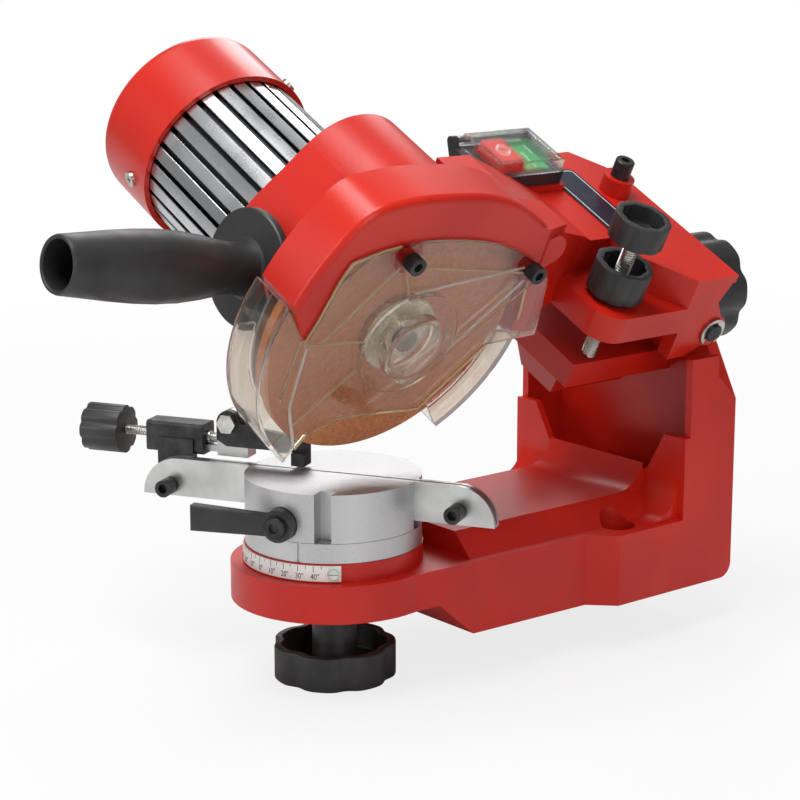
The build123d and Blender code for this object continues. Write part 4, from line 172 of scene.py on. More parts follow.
# Angle scale: a white enamelled strip that is bent round the collar. Its strokes and figures are
# printed in black, a long stroke with a figure at each ten degrees and a short one between.
scale_paint = finish("white enamel", (0.80, 0.79, 0.76), (0.70, 0.69, 0.65), 60.0, (0.3, 0.45),
                     (1500.0, 300.0, 0.3), (0.08, 0.0002))
cover(scale_paint, "scale_plate")
ink = finish("black print", (0.022, 0.022, 0.022), (0.012, 0.012, 0.012), 300.0, (0.45, 0.6),
             (2500.0, 500.0, 0.4), (0.1, 0.0001))
vise_middle = Vector((0.0, -0.150, 0.0))
collar_radius = 0.0449
scale_thickness = 0.0007
scale_face = collar_radius + scale_thickness
scale_top = 0.0462
ink_lift = 0.00004
ink_edge = 0.00002
long_stroke = 0.0030
short_stroke = 0.0015
stroke_width = 0.00032
figure_foot = 0.0396
figure_size = 0.0040
figure_narrowing = 0.8
degree_sign_shift = 1


def round_collar(angle, height, radius):
    """Place on the collar: x along it to the right, y upwards, z outwards."""
    outward = Vector((sin(angle), -cos(angle), 0.0))
    side = Vector((cos(angle), sin(angle), 0.0))
    axes = Matrix((side, Vector((0.0, 0.0, 1.0)), outward)).transposed().to_4x4()
    return Matrix.Translation(vise_middle + outward * radius + Vector((0.0, 0.0, height))) @ axes


def join_pieces(pieces, name, made, body):
    """Joins pieces to one, gives it its finish and lets it ride on a body."""
    bpy.ops.object.select_all(action="DESELECT")
    for piece in pieces:
        piece.select_set(True)
    bpy.context.view_layer.objects.active = pieces[0]
    if len(pieces) > 1:
        bpy.ops.object.join()
    whole = bpy.context.object
    whole.name = name
    whole.data.name = name
    whole.data.materials.clear()
    whole.data.materials.append(made)
    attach(whole, body)
    bpy.ops.object.select_all(action="DESELECT")
    return whole


def smooth(piece, angle):
    """Rounds the shading below an angle between faces."""
    bpy.ops.object.select_all(action="DESELECT")
    piece.select_set(True)
    bpy.context.view_layer.objects.active = piece
    bpy.ops.object.shade_smooth_by_angle(angle=radians(angle))
    bpy.ops.object.select_all(action="DESELECT")


print_marks = []
for mark in range(-45, 46, 5):
    reach = long_stroke if mark % 10 == 0 else short_stroke
    bpy.ops.mesh.primitive_cube_add(size=1.0)
    stroke = bpy.context.object
    stroke.data.transform(
        round_collar(radians(mark), scale_top - reach / 2, scale_face)
        @ Matrix.Diagonal((stroke_width, reach, 2 * ink_lift, 1.0)))
    bpy.ops.object.mode_set(mode="EDIT")
    bpy.ops.mesh.select_all(action="SELECT")
    bpy.ops.mesh.bevel(offset=ink_edge, segments=1)
    bpy.ops.object.mode_set(mode="OBJECT")
    print_marks.append(stroke)
for figure in range(-40, 41, 10):
    bpy.ops.object.text_add()
    digits = bpy.context.object
    digits.data.body = str(abs(figure)) + "°"
    digits.data.size = figure_size
    digits.data.align_x = "CENTER"
    digits.data.extrude = ink_lift
    bpy.ops.object.convert(target="MESH")
    digits = bpy.context.object
    digits.data.transform(round_collar(radians(figure + degree_sign_shift), figure_foot, scale_face)
                          @ Matrix.Diagonal((figure_narrowing, 1.0, 1.0, 1.0)))
    print_marks.append(digits)
join_pieces(print_marks, "scale_figures", ink, "base")

# Zinc-plated steel: screws, studs, washers, nuts and the bearings' rings, pale with a faint
# yellow cast from the plating bath and fine marks from the tools that drove them.
zinc = finish("zinc plate", (0.66, 0.66, 0.63), (0.48, 0.47, 0.42), 160.0, (0.2, 0.4),
              (1800.0, 350.0, 0.35), (0.15, 0.0002), metal=1.0)
cover(zinc, "scale_screws", "swivel_stud", "clamp_washer", "pawl_bolt", "tilt_stud", "tilt_washer",
      "hinge_clips", "cap_screws", "bearings", "handle_stud", "inner_flange", "outer_flange",
      "arbor_nut", "stop_screw", "depth_rod")

# Vise: two half discs of cast aluminium, sand blasted to an even sparkle, with a jaw that a
# screw pulls against the chain. It turns on the collar about its upright stud.
vise_metal = finish("blasted aluminium", (0.64, 0.64, 0.65), (0.52, 0.52, 0.53), 2600.0, (0.38, 0.50),
                    (1400.0, 600.0, 0.4), (0.5, 0.0004), metal=1.0)
cover(vise_metal, "vise_body", "front_jaw")

# Chain rails and the stop's slider: punched from bright steel strip, brushed along their length
# and held to the jaws by black screws.
swivel = radians(30.0)
rail_metal = finish("brushed strip steel", (0.66, 0.66, 0.65), (0.48, 0.48, 0.48), 60.0, (0.28, 0.42),
                    (900.0, 220.0, 0.4), (0.3, 0.0002), metal=1.0, turn=(0, 0, -swivel),
                    stretch=(0.05, 1, 1))
cover(rail_metal, "rear_rail", "front_rail", "stop_slider")

# Blackened steel: rail and guard screws, clamping screw, chain stop's bracket and pawl, hinge
# pin. The oxide is thin and shines a little.
black_oxide = finish("black oxide", (0.050, 0.050, 0.053), (0.018, 0.018, 0.020), 140.0, (0.28, 0.48),
                     (1200.0, 300.0, 0.4), (0.3, 0.0003), metal=0.5)
cover(black_oxide, "rail_screws", "lever_screw", "stop_bracket", "pawl", "hinge_pin",
      "guard_screws", "flap_pin", "spring_screw")

# Black mouldings: knobs, clamp lever, handle, switch frame, fan and the parts inside the motor
# and switch, in glass-filled nylon with a fine spark-eroded grain.
nylon = finish("black nylon", (0.030, 0.030, 0.032), (0.014, 0.014, 0.015), 45.0, (0.38, 0.54),
               (1300.0, 350.0, 0.3), (0.3, 0.0003))
cover(nylon, "clamp_knob", "clamp_lever", "stop_knob", "tilt_knob", "pin_spacer", "capacitor",
      "contact_block", "switch_frame", "depth_knob", "lock_knob", "fan", "handle_grip")

# Clamp knob: a nylon cup with broad lobes round its rim and a hub in the middle, moulded on a nut
# that pulls the vise's stud down. The machine's other knobs are cups of the same kind.
welded = 0.000002
rim_margin = 0.0002
valley_narrowness = 3
rounding = 0.28
hub_bite = 0.0002


def turned_piece(profile, steps):
    """A piece turned about z, from a closed ring of (radius, height) corners."""
    bpy.ops.mesh.primitive_circle_add(vertices=len(profile), fill_type="NOTHING")
    piece = bpy.context.object
    for corner, (radius, height) in zip(piece.data.vertices, profile):
        corner.co = (radius, 0.0, height)
    lathe = piece.modifiers.new("lathe", "SCREW")
    lathe.axis = "Z"
    lathe.angle = 2 * pi
    lathe.steps = steps
    lathe.render_steps = steps
    lathe.use_merge_vertices = True
    lathe.merge_threshold = welded
    bpy.ops.object.modifier_apply(modifier="lathe")
    bpy.ops.object.mode_set(mode="EDIT")
    bpy.ops.mesh.select_all(action="SELECT")
    bpy.ops.mesh.remove_doubles(threshold=welded)
    bpy.ops.mesh.normals_make_consistent(inside=False)
    bpy.ops.object.mode_set(mode="OBJECT")
    return piece


def lobed_knob(radius, height, lobes, valley, wall, floor, hub, hub_top):
    """A cup along z with its closed face at 0, and its rim at its height. Valleys part the lobes."""
    bpy.ops.mesh.primitive_cylinder_add(vertices=lobes * 16, radius=radius, depth=height)
    knob = bpy.context.object
    knob.data.transform(Matrix.Translation((0.0, 0.0, height / 2)))
    bpy.ops.object.mode_set(mode="EDIT")
    bpy.ops.mesh.select_mode(type="FACE")
    bpy.ops.mesh.select_all(action="DESELECT")
    bpy.ops.object.mode_set(mode="OBJECT")
    for face in knob.data.polygons:
        face.select = face.normal.z > 0.9
    bpy.ops.object.mode_set(mode="EDIT")
    bpy.ops.mesh.inset(thickness=wall)
    bpy.ops.mesh.extrude_region_move(TRANSFORM_OT_translate={"value": (0.0, 0.0, floor - height)})
    bpy.ops.mesh.inset(thickness=radius - wall - hub)
    bpy.ops.mesh.extrude_region_move(TRANSFORM_OT_translate={"value": (0.0, 0.0, hub_top - floor)})
    bpy.ops.mesh.select_mode(type="VERT")
    bpy.ops.object.mode_set(mode="OBJECT")
    for corner in knob.data.vertices:
        out = Vector((corner.co.x, corner.co.y))
        if out.length > radius - wall - rim_margin:
            around = out.angle_signed(Vector((1.0, 0.0)))
            dent = ((1 - cos(lobes * around)) / 2) ** valley_narrowness
            corner.co.x -= out.x / out.length * valley * dent
            corner.co.y -= out.y / out.length * valley * dent
    edges = knob.modifiers.new("edges", "BEVEL")
    edges.width = wall * rounding
    edges.segments = 3
    edges.limit_method = "ANGLE"
    edges.angle_limit = radians(45)
    bpy.ops.object.modifier_apply(modifier="edges")
    return knob


def join_two(first, second):
    """Joins a second piece to the first."""
    bpy.ops.object.select_all(action="DESELECT")
    first.select_set(True)
    second.select_set(True)
    bpy.context.view_layer.objects.active = first
    bpy.ops.object.join()
    return bpy.context.object


def place_knob(knob, name, place, body, stands_for):
    """Puts a knob in its place on its body."""
    knob.data.transform(place)
    join_pieces([knob], name, nylon, body)
    smooth(knob, 32)
    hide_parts(stands_for)


low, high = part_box("clamp_knob")
clamp_cup = lobed_knob(radius=0.0312, height=0.018, lobes=7, valley=0.0022, wall=0.0042, floor=0.005,
                       hub=0.0112, hub_top=high[2] - low[2])
clamp_foot = Matrix.Translation(vise_middle + Vector((0.0, 0.0, low[2])))
place_knob(clamp_cup, "clamp_cup", clamp_foot, "vise_knob", "clamp_knob")

# Chain stop's screw: a zinc-plated 5 mm spindle with two collars, turned by its knob. The thread
# is rolled, one millimetre to the turn, and the collars hold it in the bracket.
stop_back = 0.0115
stop_height = 0.0905
flank_share = 0.44
flat_share = 0.08
thread_sink = 0.97
thread_steps = 28


def along_rails(run):
    """Place on the stop's axis: z along the rails to the right."""
    run_way = Vector((cos(swivel), sin(swivel), 0.0))
    back_way = Vector((-sin(swivel), cos(swivel), 0.0))
    middle = vise_middle + run_way * run + back_way * stop_back + Vector((0.0, 0.0, stop_height))
    axes = Matrix((back_way, Vector((0.0, 0.0, 1.0)), run_way)).transposed().to_4x4()
    return Matrix.Translation(middle) @ axes


def round_bar(radius, length, chamfer):
    """A bar from 0 to its length along z, with chamfered ends."""
    bpy.ops.mesh.primitive_cylinder_add(vertices=48, radius=radius, depth=length)
    bar = bpy.context.object
    bar.data.transform(Matrix.Translation((0.0, 0.0, length / 2)))
    bpy.ops.object.mode_set(mode="EDIT")
    bpy.ops.mesh.select_all(action="DESELECT")
    bpy.ops.object.mode_set(mode="OBJECT")
    for edge in bar.data.edges:
        ends = [bar.data.vertices[i].co.z for i in edge.vertices]
        edge.select = abs(ends[0] - ends[1]) < length / 4
    bpy.ops.object.mode_set(mode="EDIT")
    bpy.ops.mesh.bevel(offset=chamfer, segments=2)
    bpy.ops.object.mode_set(mode="OBJECT")
    return bar


def rolled_thread(root, crest, pitch, start, turns):
    """A thread along z from its start: a ring of four corners that is screwed upwards."""
    bpy.ops.mesh.primitive_plane_add(size=1.0)
    thread = bpy.context.object
    bpy.ops.object.mode_set(mode="EDIT")
    bpy.ops.mesh.select_all(action="SELECT")
    bpy.ops.mesh.delete(type="ONLY_FACE")
    bpy.ops.object.mode_set(mode="OBJECT")
    flank = pitch * flank_share
    flat = pitch * flat_share
    for corner in thread.data.vertices:
        outside = corner.co.x > 0
        upper = corner.co.y > 0
        rise = flat if outside else flank
        corner.co = (crest if outside else root * thread_sink, 0.0, start + (rise if upper else -rise))
    screw = thread.modifiers.new("thread", "SCREW")
    screw.axis = "Z"
    screw.angle = 2 * pi
    screw.screw_offset = pitch
    screw.iterations = turns
    screw.steps = thread_steps
    screw.render_steps = thread_steps
    bpy.ops.object.modifier_apply(modifier="thread")
    bpy.ops.object.mode_set(mode="EDIT")
    bpy.ops.mesh.select_all(action="SELECT")
    bpy.ops.mesh.remove_doubles(threshold=welded)
    bpy.ops.mesh.fill_holes(sides=4)
    bpy.ops.mesh.select_all(action="SELECT")
    bpy.ops.mesh.normals_make_consistent(inside=False)
    bpy.ops.object.mode_set(mode="OBJECT")
    return thread


stop_left = -0.124
stop_length = 0.066
stop_root = 0.0021
stop_pitch = 0.001
spindle = round_bar(stop_root, stop_length, chamfer=0.0004)
spindle_thread = rolled_thread(stop_root, crest=0.0025, pitch=stop_pitch, start=stop_pitch, turns=64)
collars = []
for collar_left in (-0.10785, -0.07395):
    collar = round_bar(radius=0.0033, length=0.0018, chamfer=0.0002)
    collar.data.transform(Matrix.Translation((0.0, 0.0, collar_left - stop_left)))
    collars.append(collar)
stop_spindle = join_pieces([spindle, spindle_thread, *collars], "stop_spindle", zinc, "stop_drive")
stop_spindle.data.transform(along_rails(stop_left))
smooth(stop_spindle, 28)
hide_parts("stop_screw")
stop_cup = lobed_knob(radius=0.0126, height=0.021, lobes=8, valley=0.0013, wall=0.0030, floor=0.010,
                      hub=0.0050, hub_top=0.0102)
stop_knob_right = -0.121
stop_knob_place = along_rails(stop_knob_right) @ Matrix.Rotation(pi, 4, "X")
place_knob(stop_cup, "stop_cup", stop_knob_place, "stop_drive", "stop_knob")

# Tilt knob: a cup of the same kind on the stud behind the column, open to the rear, with a turned
# hub that bears on the washer.
low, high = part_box("tilt_knob")
tilt_hub_length = 0.004
tilt_hub_radius = 0.012
tilt_middle = (0.015, low[1] + tilt_hub_length, 0.150)
tilt_place = Matrix.Translation(tilt_middle) @ Matrix.Rotation(-pi / 2, 4, "X")
tilt_cup = lobed_knob(radius=0.0298, height=high[1] - tilt_middle[1], lobes=7, valley=0.0026,
                      wall=0.0042, floor=0.006, hub=0.0115, hub_top=0.012)
tilt_hub = turned_piece(((0.0, -tilt_hub_length), (tilt_hub_radius, -tilt_hub_length),
                         (tilt_hub_radius, hub_bite), (0.0, hub_bite)), 64)
place_knob(join_two(tilt_cup, tilt_hub), "tilt_cup", tilt_place, "rear_knob", "tilt_knob")

# Lift spring: a torsion spring of oiled wire, wound round the hinge pin. At rest it carries most
# of the head's weight.
spring_wire = finish("oiled spring wire", (0.32, 0.32, 0.33), (0.14, 0.14, 0.15), 200.0, (0.22, 0.4),
                     (1200.0, 260.0, 0.4), (0.2, 0.0002), metal=1.0)
cover(spring_wire, "lift_spring")

# Motor housing: a tube of extruded aluminium with broad flat fins, plain metal on their faces, and
# painted shade in the narrow grooves, which turn near black. It stands in the red mount on the head.
tilt = radians(26.5)
head_origin = Vector((0.015, -0.150, 0.150))
head_right = Vector((cos(tilt), 0.0, -sin(tilt)))
head_up = Vector((sin(tilt), 0.0, cos(tilt)))
wheel_right = 0.0126
wheel_back = 0.007
wheel_up = 0.0194
wheel_middle = head_origin + head_right * wheel_right + Vector((0.0, wheel_back, 0.0)) + head_up * wheel_up


def on_shaft(right):
    """Place on the motor's shaft: z along it to the right, from a distance in metres."""
    axes = Matrix((head_up, Vector((0.0, -1.0, 0.0)), head_right)).transposed().to_4x4()
    start = wheel_middle + head_right * (right - wheel_right)
    return Matrix.Translation(start) @ axes


housing_metal = finish("extruded aluminium", (0.72, 0.73, 0.74), (0.52, 0.53, 0.55), 40.0, (0.2, 0.34),
                       (700.0, 160.0, 0.4), (0.3, 0.0002), metal=1.0, turn=(0, tilt, 0),
                       stretch=(0.04, 1, 1))
tree = housing_metal.node_tree
where = tree.nodes.new("ShaderNodeTexCoord")
from_shaft = tree.nodes.new("ShaderNodeVectorMath")
from_shaft.operation = "SUBTRACT"
from_shaft.inputs[1].default_value = wheel_middle
level = tree.nodes.new("ShaderNodeVectorRotate")
level.rotation_type = "EULER_XYZ"
level.inputs["Rotation"].default_value = (0.0, -tilt, 0.0)
across_shaft = tree.nodes.new("ShaderNodeVectorMath")
across_shaft.operation = "MULTIPLY"
across_shaft.inputs[1].default_value = (0.0, 1.0, 1.0)
radius_at = tree.nodes.new("ShaderNodeVectorMath")
radius_at.operation = "LENGTH"
# Painted shade: below the fins' faces the colour is mixed to near black, for the shade down in the
# grooves.
groove = tree.nodes.new("ShaderNodeMapRange")
groove_depths = (0.0446, 0.0457)
groove.inputs["From Min"].default_value, groove.inputs["From Max"].default_value = groove_depths
painted_groove_shade = tree.nodes.new("ShaderNodeMix")
painted_groove_shade.data_type = "RGBA"
painted_groove_shade.inputs[6].default_value = (0.03, 0.03, 0.033, 1.0)
tree.links.new(where.outputs["Object"], from_shaft.inputs[0])
tree.links.new(from_shaft.outputs["Vector"], level.inputs["Vector"])
tree.links.new(level.outputs["Vector"], across_shaft.inputs[0])
tree.links.new(across_shaft.outputs["Vector"], radius_at.inputs[0])
tree.links.new(radius_at.outputs["Value"], groove.inputs["Value"])
tree.links.new(groove.outputs["Result"], painted_groove_shade.inputs["Factor"])
tree.links.new(tree.nodes["tone"].outputs["Color"], painted_groove_shade.inputs[7])
tree.links.new(painted_groove_shade.outputs[2], tree.nodes["Principled BSDF"].inputs["Base Color"])
cover(housing_metal, "motor_housing")
fins = 30
fin_pitch = 360 / fins
housing_left = -0.152
cap_ring = 0.008
sleeve_length = 0.0838
overlap = 0.0001
fin_corners = ((0.0, 0.0434), (1.5, 0.0432), (3.0, 0.0434), (3.2, 0.0457), (3.6, 0.0460), (7.5, 0.0460),
               (11.4, 0.0460), (11.8, 0.0457))
tube_bore = 0.0404
loops = []
for outer in (True, False):
    bpy.ops.mesh.primitive_circle_add(vertices=fins * len(fin_corners), radius=tube_bore,
                                      fill_type="NOTHING")
    loop = bpy.context.object
    for place, corner in enumerate(loop.data.vertices):
        step, radius = fin_corners[place % len(fin_corners)]
        angle = radians(fin_pitch * (place // len(fin_corners)) + step)
        radius = radius if outer else tube_bore
        corner.co = (radius * cos(angle), radius * sin(angle), 0.0)
    loops.append(loop)
bpy.ops.object.select_all(action="DESELECT")
for loop in loops:
    loop.select_set(True)
bpy.context.view_layer.objects.active = loops[0]
bpy.ops.object.join()
sleeve = bpy.context.object
bpy.ops.object.mode_set(mode="EDIT")
bpy.ops.mesh.select_all(action="SELECT")
bpy.ops.mesh.bridge_edge_loops()
bpy.ops.mesh.select_all(action="SELECT")
bpy.ops.mesh.normals_make_consistent(inside=False)
bpy.ops.object.mode_set(mode="OBJECT")
drawn = sleeve.modifiers.new("drawn", "SOLIDIFY")
drawn.thickness = sleeve_length
drawn.offset = 0.0
bpy.ops.object.modifier_apply(modifier="drawn")
sleeve.data.transform(Matrix.Translation((0.0, 0.0, cap_ring + sleeve_length / 2)))
housing_length = 0.0964
cap_ring_radius = 0.0462
mount_ring_radius = 0.0429
rings = []
for ring_radius, ring_start, ring_end in (
    (cap_ring_radius, 0.0, cap_ring + overlap),
    (mount_ring_radius, cap_ring + sleeve_length - overlap, housing_length),
):
    rings.append(turned_piece(((tube_bore, ring_start), (tube_bore, ring_end),
                               (ring_radius, ring_end), (ring_radius, ring_start)), 96))
finned_tube = join_pieces([sleeve, *rings], "finned_tube", housing_metal, "head")
finned_tube.data.transform(on_shaft(housing_left))
smooth(finned_tube, 20)
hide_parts("motor_housing")

# Motor's end cap: deep-drawn sheet steel, smoother than the castings, in the same red, pushed
# over the housing and held by crosshead screws.
cap_paint = finish("smooth red paint", (0.60, 0.018, 0.006), (0.50, 0.012, 0.005), 14.0, (0.24, 0.34),
                   (500.0, 70.0, 0.6), (0.1, 0.0004))
cap_shader = cap_paint.node_tree.nodes["Principled BSDF"]
cap_shader.inputs["Coat Weight"].default_value = 0.2
cap_shader.inputs["Coat Roughness"].default_value = 0.15
cover(cap_paint, "end_cap")

# Inside the motor: the stator's stacked laminations, the turned shaft with its core, and the
# windings of enamelled copper wire that are laced into two rings.
core_steel = finish("core steel", (0.36, 0.36, 0.38), (0.20, 0.20, 0.22), 90.0, (0.36, 0.56),
                    (1600.0, 500.0, 0.5), (0.5, 0.0003), metal=0.9, turn=(0, tilt, 0),
                    stretch=(5, 0.3, 0.3))
cover(core_steel, "stator", "rotor_shaft")
copper = finish("enamelled copper", (0.60, 0.25, 0.10), (0.34, 0.12, 0.05), 150.0, (0.25, 0.42),
                (1400.0, 700.0, 0.5), (0.6, 0.0005), metal=0.8, turn=(0, tilt, 0),
                stretch=(0.4, 1, 1))
cover(copper, "windings")

# Grinding wheel: aluminium oxide grains in a fired red-brown bond, dressed flat, with pale grains
# that show in the bond all over it.
abrasive = finish("bonded abrasive", (0.60, 0.22, 0.085), (0.44, 0.14, 0.05), 380.0, (0.78, 0.95),
                  (1800.0, 800.0, 0.5), (0.9, 0.0005))
tree = abrasive.node_tree
where = tree.nodes.new("ShaderNodeTexCoord")
grits = tree.nodes.new("ShaderNodeTexVoronoi")
grits.inputs["Scale"].default_value = 1500.0
grit_edge = tree.nodes.new("ShaderNodeMapRange")
grit_edge.inputs["From Min"].default_value = 0.15
grit_edge.inputs["From Max"].default_value = 0.35
grit_colour = tree.nodes.new("ShaderNodeMix")
grit_colour.data_type = "RGBA"
grit_colour.inputs[6].default_value = (0.78, 0.48, 0.30, 1.0)
tree.links.new(where.outputs["Object"], grits.inputs["Vector"])
tree.links.new(grits.outputs["Distance"], grit_edge.inputs["Value"])
tree.links.new(grit_edge.outputs["Result"], grit_colour.inputs["Factor"])
tree.links.new(tree.nodes["tone"].outputs["Color"], grit_colour.inputs[7])
tree.links.new(grit_colour.outputs[2], tree.nodes["Principled BSDF"].inputs["Base Color"])
cover(abrasive, "grinding_wheel")

# Backing plate behind the wheel: pressed sheet steel with a hole for the shaft, passivated to a
# bluish grey.
backing = finish("passivated sheet", (0.42, 0.47, 0.52), (0.28, 0.33, 0.38), 30.0, (0.3, 0.46),
                 (800.0, 160.0, 0.4), (0.15, 0.0003), metal=0.6)
cover(backing, "inner_plate")

# Guards: clear polycarbonate mouldings with a warm cast that is deepest along their edges. Two
# black screws hold the outer one to the head.
clear = finish("clear polycarbonate", (0.985, 0.955, 0.90), (0.95, 0.90, 0.80), 25.0, (0.0, 0.03),
               (500.0, 60.0, 0.6), (0.04, 0.0003))
clear_shader = clear.node_tree.nodes["Principled BSDF"]
clear_shader.inputs["Transmission Weight"].default_value = 1.0
clear_shader.inputs["IOR"].default_value = 1.5
clear_shader.inputs["Alpha"].default_value = 0.85
tree = clear.node_tree
edge_on = tree.nodes.new("ShaderNodeLayerWeight")
edge_on.inputs["Blend"].default_value = 0.25
amber = tree.nodes.new("ShaderNodeMix")
amber.data_type = "RGBA"
amber.inputs[7].default_value = (0.62, 0.42, 0.20, 1.0)
tree.links.new(edge_on.outputs["Facing"], amber.inputs["Factor"])
tree.links.new(tree.nodes["tone"].outputs["Color"], amber.inputs[6])
tree.links.new(amber.outputs[2], clear_shader.inputs["Base Color"])
cover(clear, "guard_cover", "rear_guard")

# Guard's ribs: moulded on its outer face from the screws to the boss and along its edges. Their
# colour is painted highlight: thin amber and pale lines for the light that the ribs catch and bend.
# Painted highlight: half-clear amber ribs that stand for the warm light bent through the ribs.
golden = finish("painted amber highlight rib", (0.86, 0.70, 0.44), (0.74, 0.55, 0.30), 60.0, (0.08, 0.2),
                (700.0, 90.0, 0.5), (0.05, 0.0002))
amber_highlight_shader = golden.node_tree.nodes["Principled BSDF"]
amber_highlight_shader.inputs["Transmission Weight"].default_value = 0.55
amber_highlight_shader.inputs["IOR"].default_value = 1.45
# Painted highlight: near-white panel ribs that stand for the light glinting along the panels' edges.
bright = finish("painted pale highlight rib", (0.95, 0.94, 0.90), (0.88, 0.86, 0.80), 60.0, (0.05, 0.15),
                (700.0, 90.0, 0.5), (0.05, 0.0002))
pale_highlight_shader = bright.node_tree.nodes["Principled BSDF"]
pale_highlight_shader.inputs["Transmission Weight"].default_value = 0.6
pale_highlight_shader.inputs["IOR"].default_value = 1.45
rib_face = 27.7
rib_proud = 0.0010
rib_edge = 0.0003
rib_overlap = 0.6


def on_head(right, back, up):
    """Place on the head in millimetres from the tilt axis: x right, y back, z up."""
    axes = Matrix((head_right, Vector((0.0, 1.0, 0.0)), head_up)).transposed().to_4x4()
    place = head_origin + head_right * (right / 1000) + head_up * (up / 1000)
    return Matrix.Translation(place + Vector((0.0, back / 1000, 0.0))) @ axes


def ribs_along(points, width):
    """Ribs on the guard's face between points (back, up) in millimetres."""
    ribs = []
    for (back, up), (next_back, next_up) in zip(points, points[1:]):
        run, rise = next_back - back, next_up - up
        bpy.ops.mesh.primitive_cube_add(size=1.0)
        rib = bpy.context.object
        middle = on_head(rib_face, (back + next_back) / 2, (up + next_up) / 2)
        length = Vector((run, rise)).length + width * rib_overlap
        size = Matrix.Diagonal((rib_proud, length / 1000, width / 1000, 1.0))
        rib.data.transform(middle @ Matrix.Rotation(atan2(rise, run), 4, "X") @ size)
        bpy.ops.object.mode_set(mode="EDIT")
        bpy.ops.mesh.select_all(action="SELECT")
        bpy.ops.mesh.bevel(offset=rib_edge, segments=2)
        bpy.ops.object.mode_set(mode="OBJECT")
        ribs.append(rib)
    return ribs


amber_highlight_runs = (
    ((-8.6, 64.0), (70.0, 50.5)),
    ((-13.0, 64.0), (-46.0, 26.0)),
    ((-8.0, 60.0), (-1.0, 46.0)),
    ((-55.0, 26.0), (-20.0, 23.0)),
    ((-48.0, -22.0), (-19.0, 6.0)),
    ((74.5, 44.0), (78.0, 22.0)),
    ((-55.8, 27.0), (-51.3, 39.4), (-45.9, 60.9), (-42.1, 69.7), (-27.4, 74.0), (-16.4, 75.9)),
    ((-41.0, -37.0), (-36.0, -29.0), (-19.0, -22.0), (31.0, -26.0), (36.0, -20.0), (62.0, 8.0)),
)
pale_highlight_runs = (
    ((68.0, 54.0), (2.0, 47.5)),
    ((71.0, 46.0), (30.0, 3.0)),
    ((-54.0, 24.0), (-53.0, -10.0), (-42.0, -36.0)),
)
for rib_runs, rib_width, rib_name, rib_made in (
    (amber_highlight_runs, 1.3, "guard_ribs", golden),
    (pale_highlight_runs, 1.6, "guard_panel_ribs", bright),
):
    rib_pieces = []
    for points in rib_runs:
        rib_pieces += ribs_along(points, rib_width)
    join_pieces(rib_pieces, rib_name, rib_made, "head")

# Handle: a hollow black nylon grip with a round guard flange, screwed on a stud in the head's
# front boss. Each of its sides has a shallow sunk panel for the hand.
grip_rise = radians(8.3)
guard_radius = 29.0
guard_thickness = 5.0
end_radius = 13.8
bore_radius = 11.4
bore_depth = 54.0
grip_length = 112.0
grip_way = head_up * sin(grip_rise) + Vector((0.0, -cos(grip_rise), 0.0))
grip_up = grip_way.cross(head_right)
boss_right = -0.0315
boss_back = -0.0467
boss_up = 0.0279
grip_foot = head_origin + head_right * boss_right + Vector((0.0, boss_back, 0.0)) + head_up * boss_up
grip_axes = Matrix((head_right, grip_up, grip_way)).transposed().to_4x4()
knots = ((5.0, 15.2), (6.0, 13.6), (9.0, 12.8), (15.0, 12.5), (23.0, 13.4), (33.0, 15.2), (45.0, 16.8),
         (57.0, 17.4), (70.0, 17.1), (84.0, 16.2), (98.0, 14.9), (107.0, 14.1),
         (grip_length - 1.2, end_radius))
outline = []
for first, last in zip(knots, knots[1:]):
    parts = max(1, round((last[0] - first[0]) / 2))
    for part in range(parts):
        share = part / parts
        outline.append((first[0] + (last[0] - first[0]) * share, first[1] + (last[1] - first[1]) * share))
profile = [(0.0, 0.0), (guard_radius - 0.6, 0.0), (guard_radius, 0.7), (guard_radius, 4.2),
           (guard_radius - 0.7, guard_thickness), (20.0, guard_thickness)]
profile += [(radius, height) for height, radius in outline]
profile += [(end_radius, grip_length - 1.2), (end_radius - 0.5, grip_length),
            (bore_radius + 0.9, grip_length), (bore_radius + 0.3, grip_length - 0.6),
            (bore_radius, grip_length - bore_depth), (0.0, grip_length - bore_depth)]
grip = turned_piece([(radius / 1000, height / 1000) for radius, height in profile], 96)
panel_middle = 58.0
panel_half_length = 42.0
panel_half_angle = 0.95
panel_depth = 0.0007
panel_limit = 1.15
panel_slope = 0.3
skin_start = 16.0
skin_end = 106.0
skin_radius = 0.012
for corner in grip.data.vertices:
    height = corner.co.z * 1000
    out = Vector((corner.co.x, corner.co.y))
    if skin_start < height < skin_end and out.length > skin_radius:
        angle = abs(out.angle_signed(Vector((1.0, 0.0))))
        side_angle = angle if angle < pi / 2 else pi - angle
        reach = ((height - panel_middle) / panel_half_length) ** 2 + (side_angle / panel_half_angle) ** 2
        press = min(1.0, max(0.0, (panel_limit - reach) / panel_slope))
        corner.co.x -= out.x / out.length * panel_depth * press
        corner.co.y -= out.y / out.length * panel_depth * press
grip.data.transform(Matrix.Translation(grip_foot) @ grip_axes)
join_pieces([grip], "grip", nylon, "head")
smooth(grip, 30)
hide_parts("handle_grip")

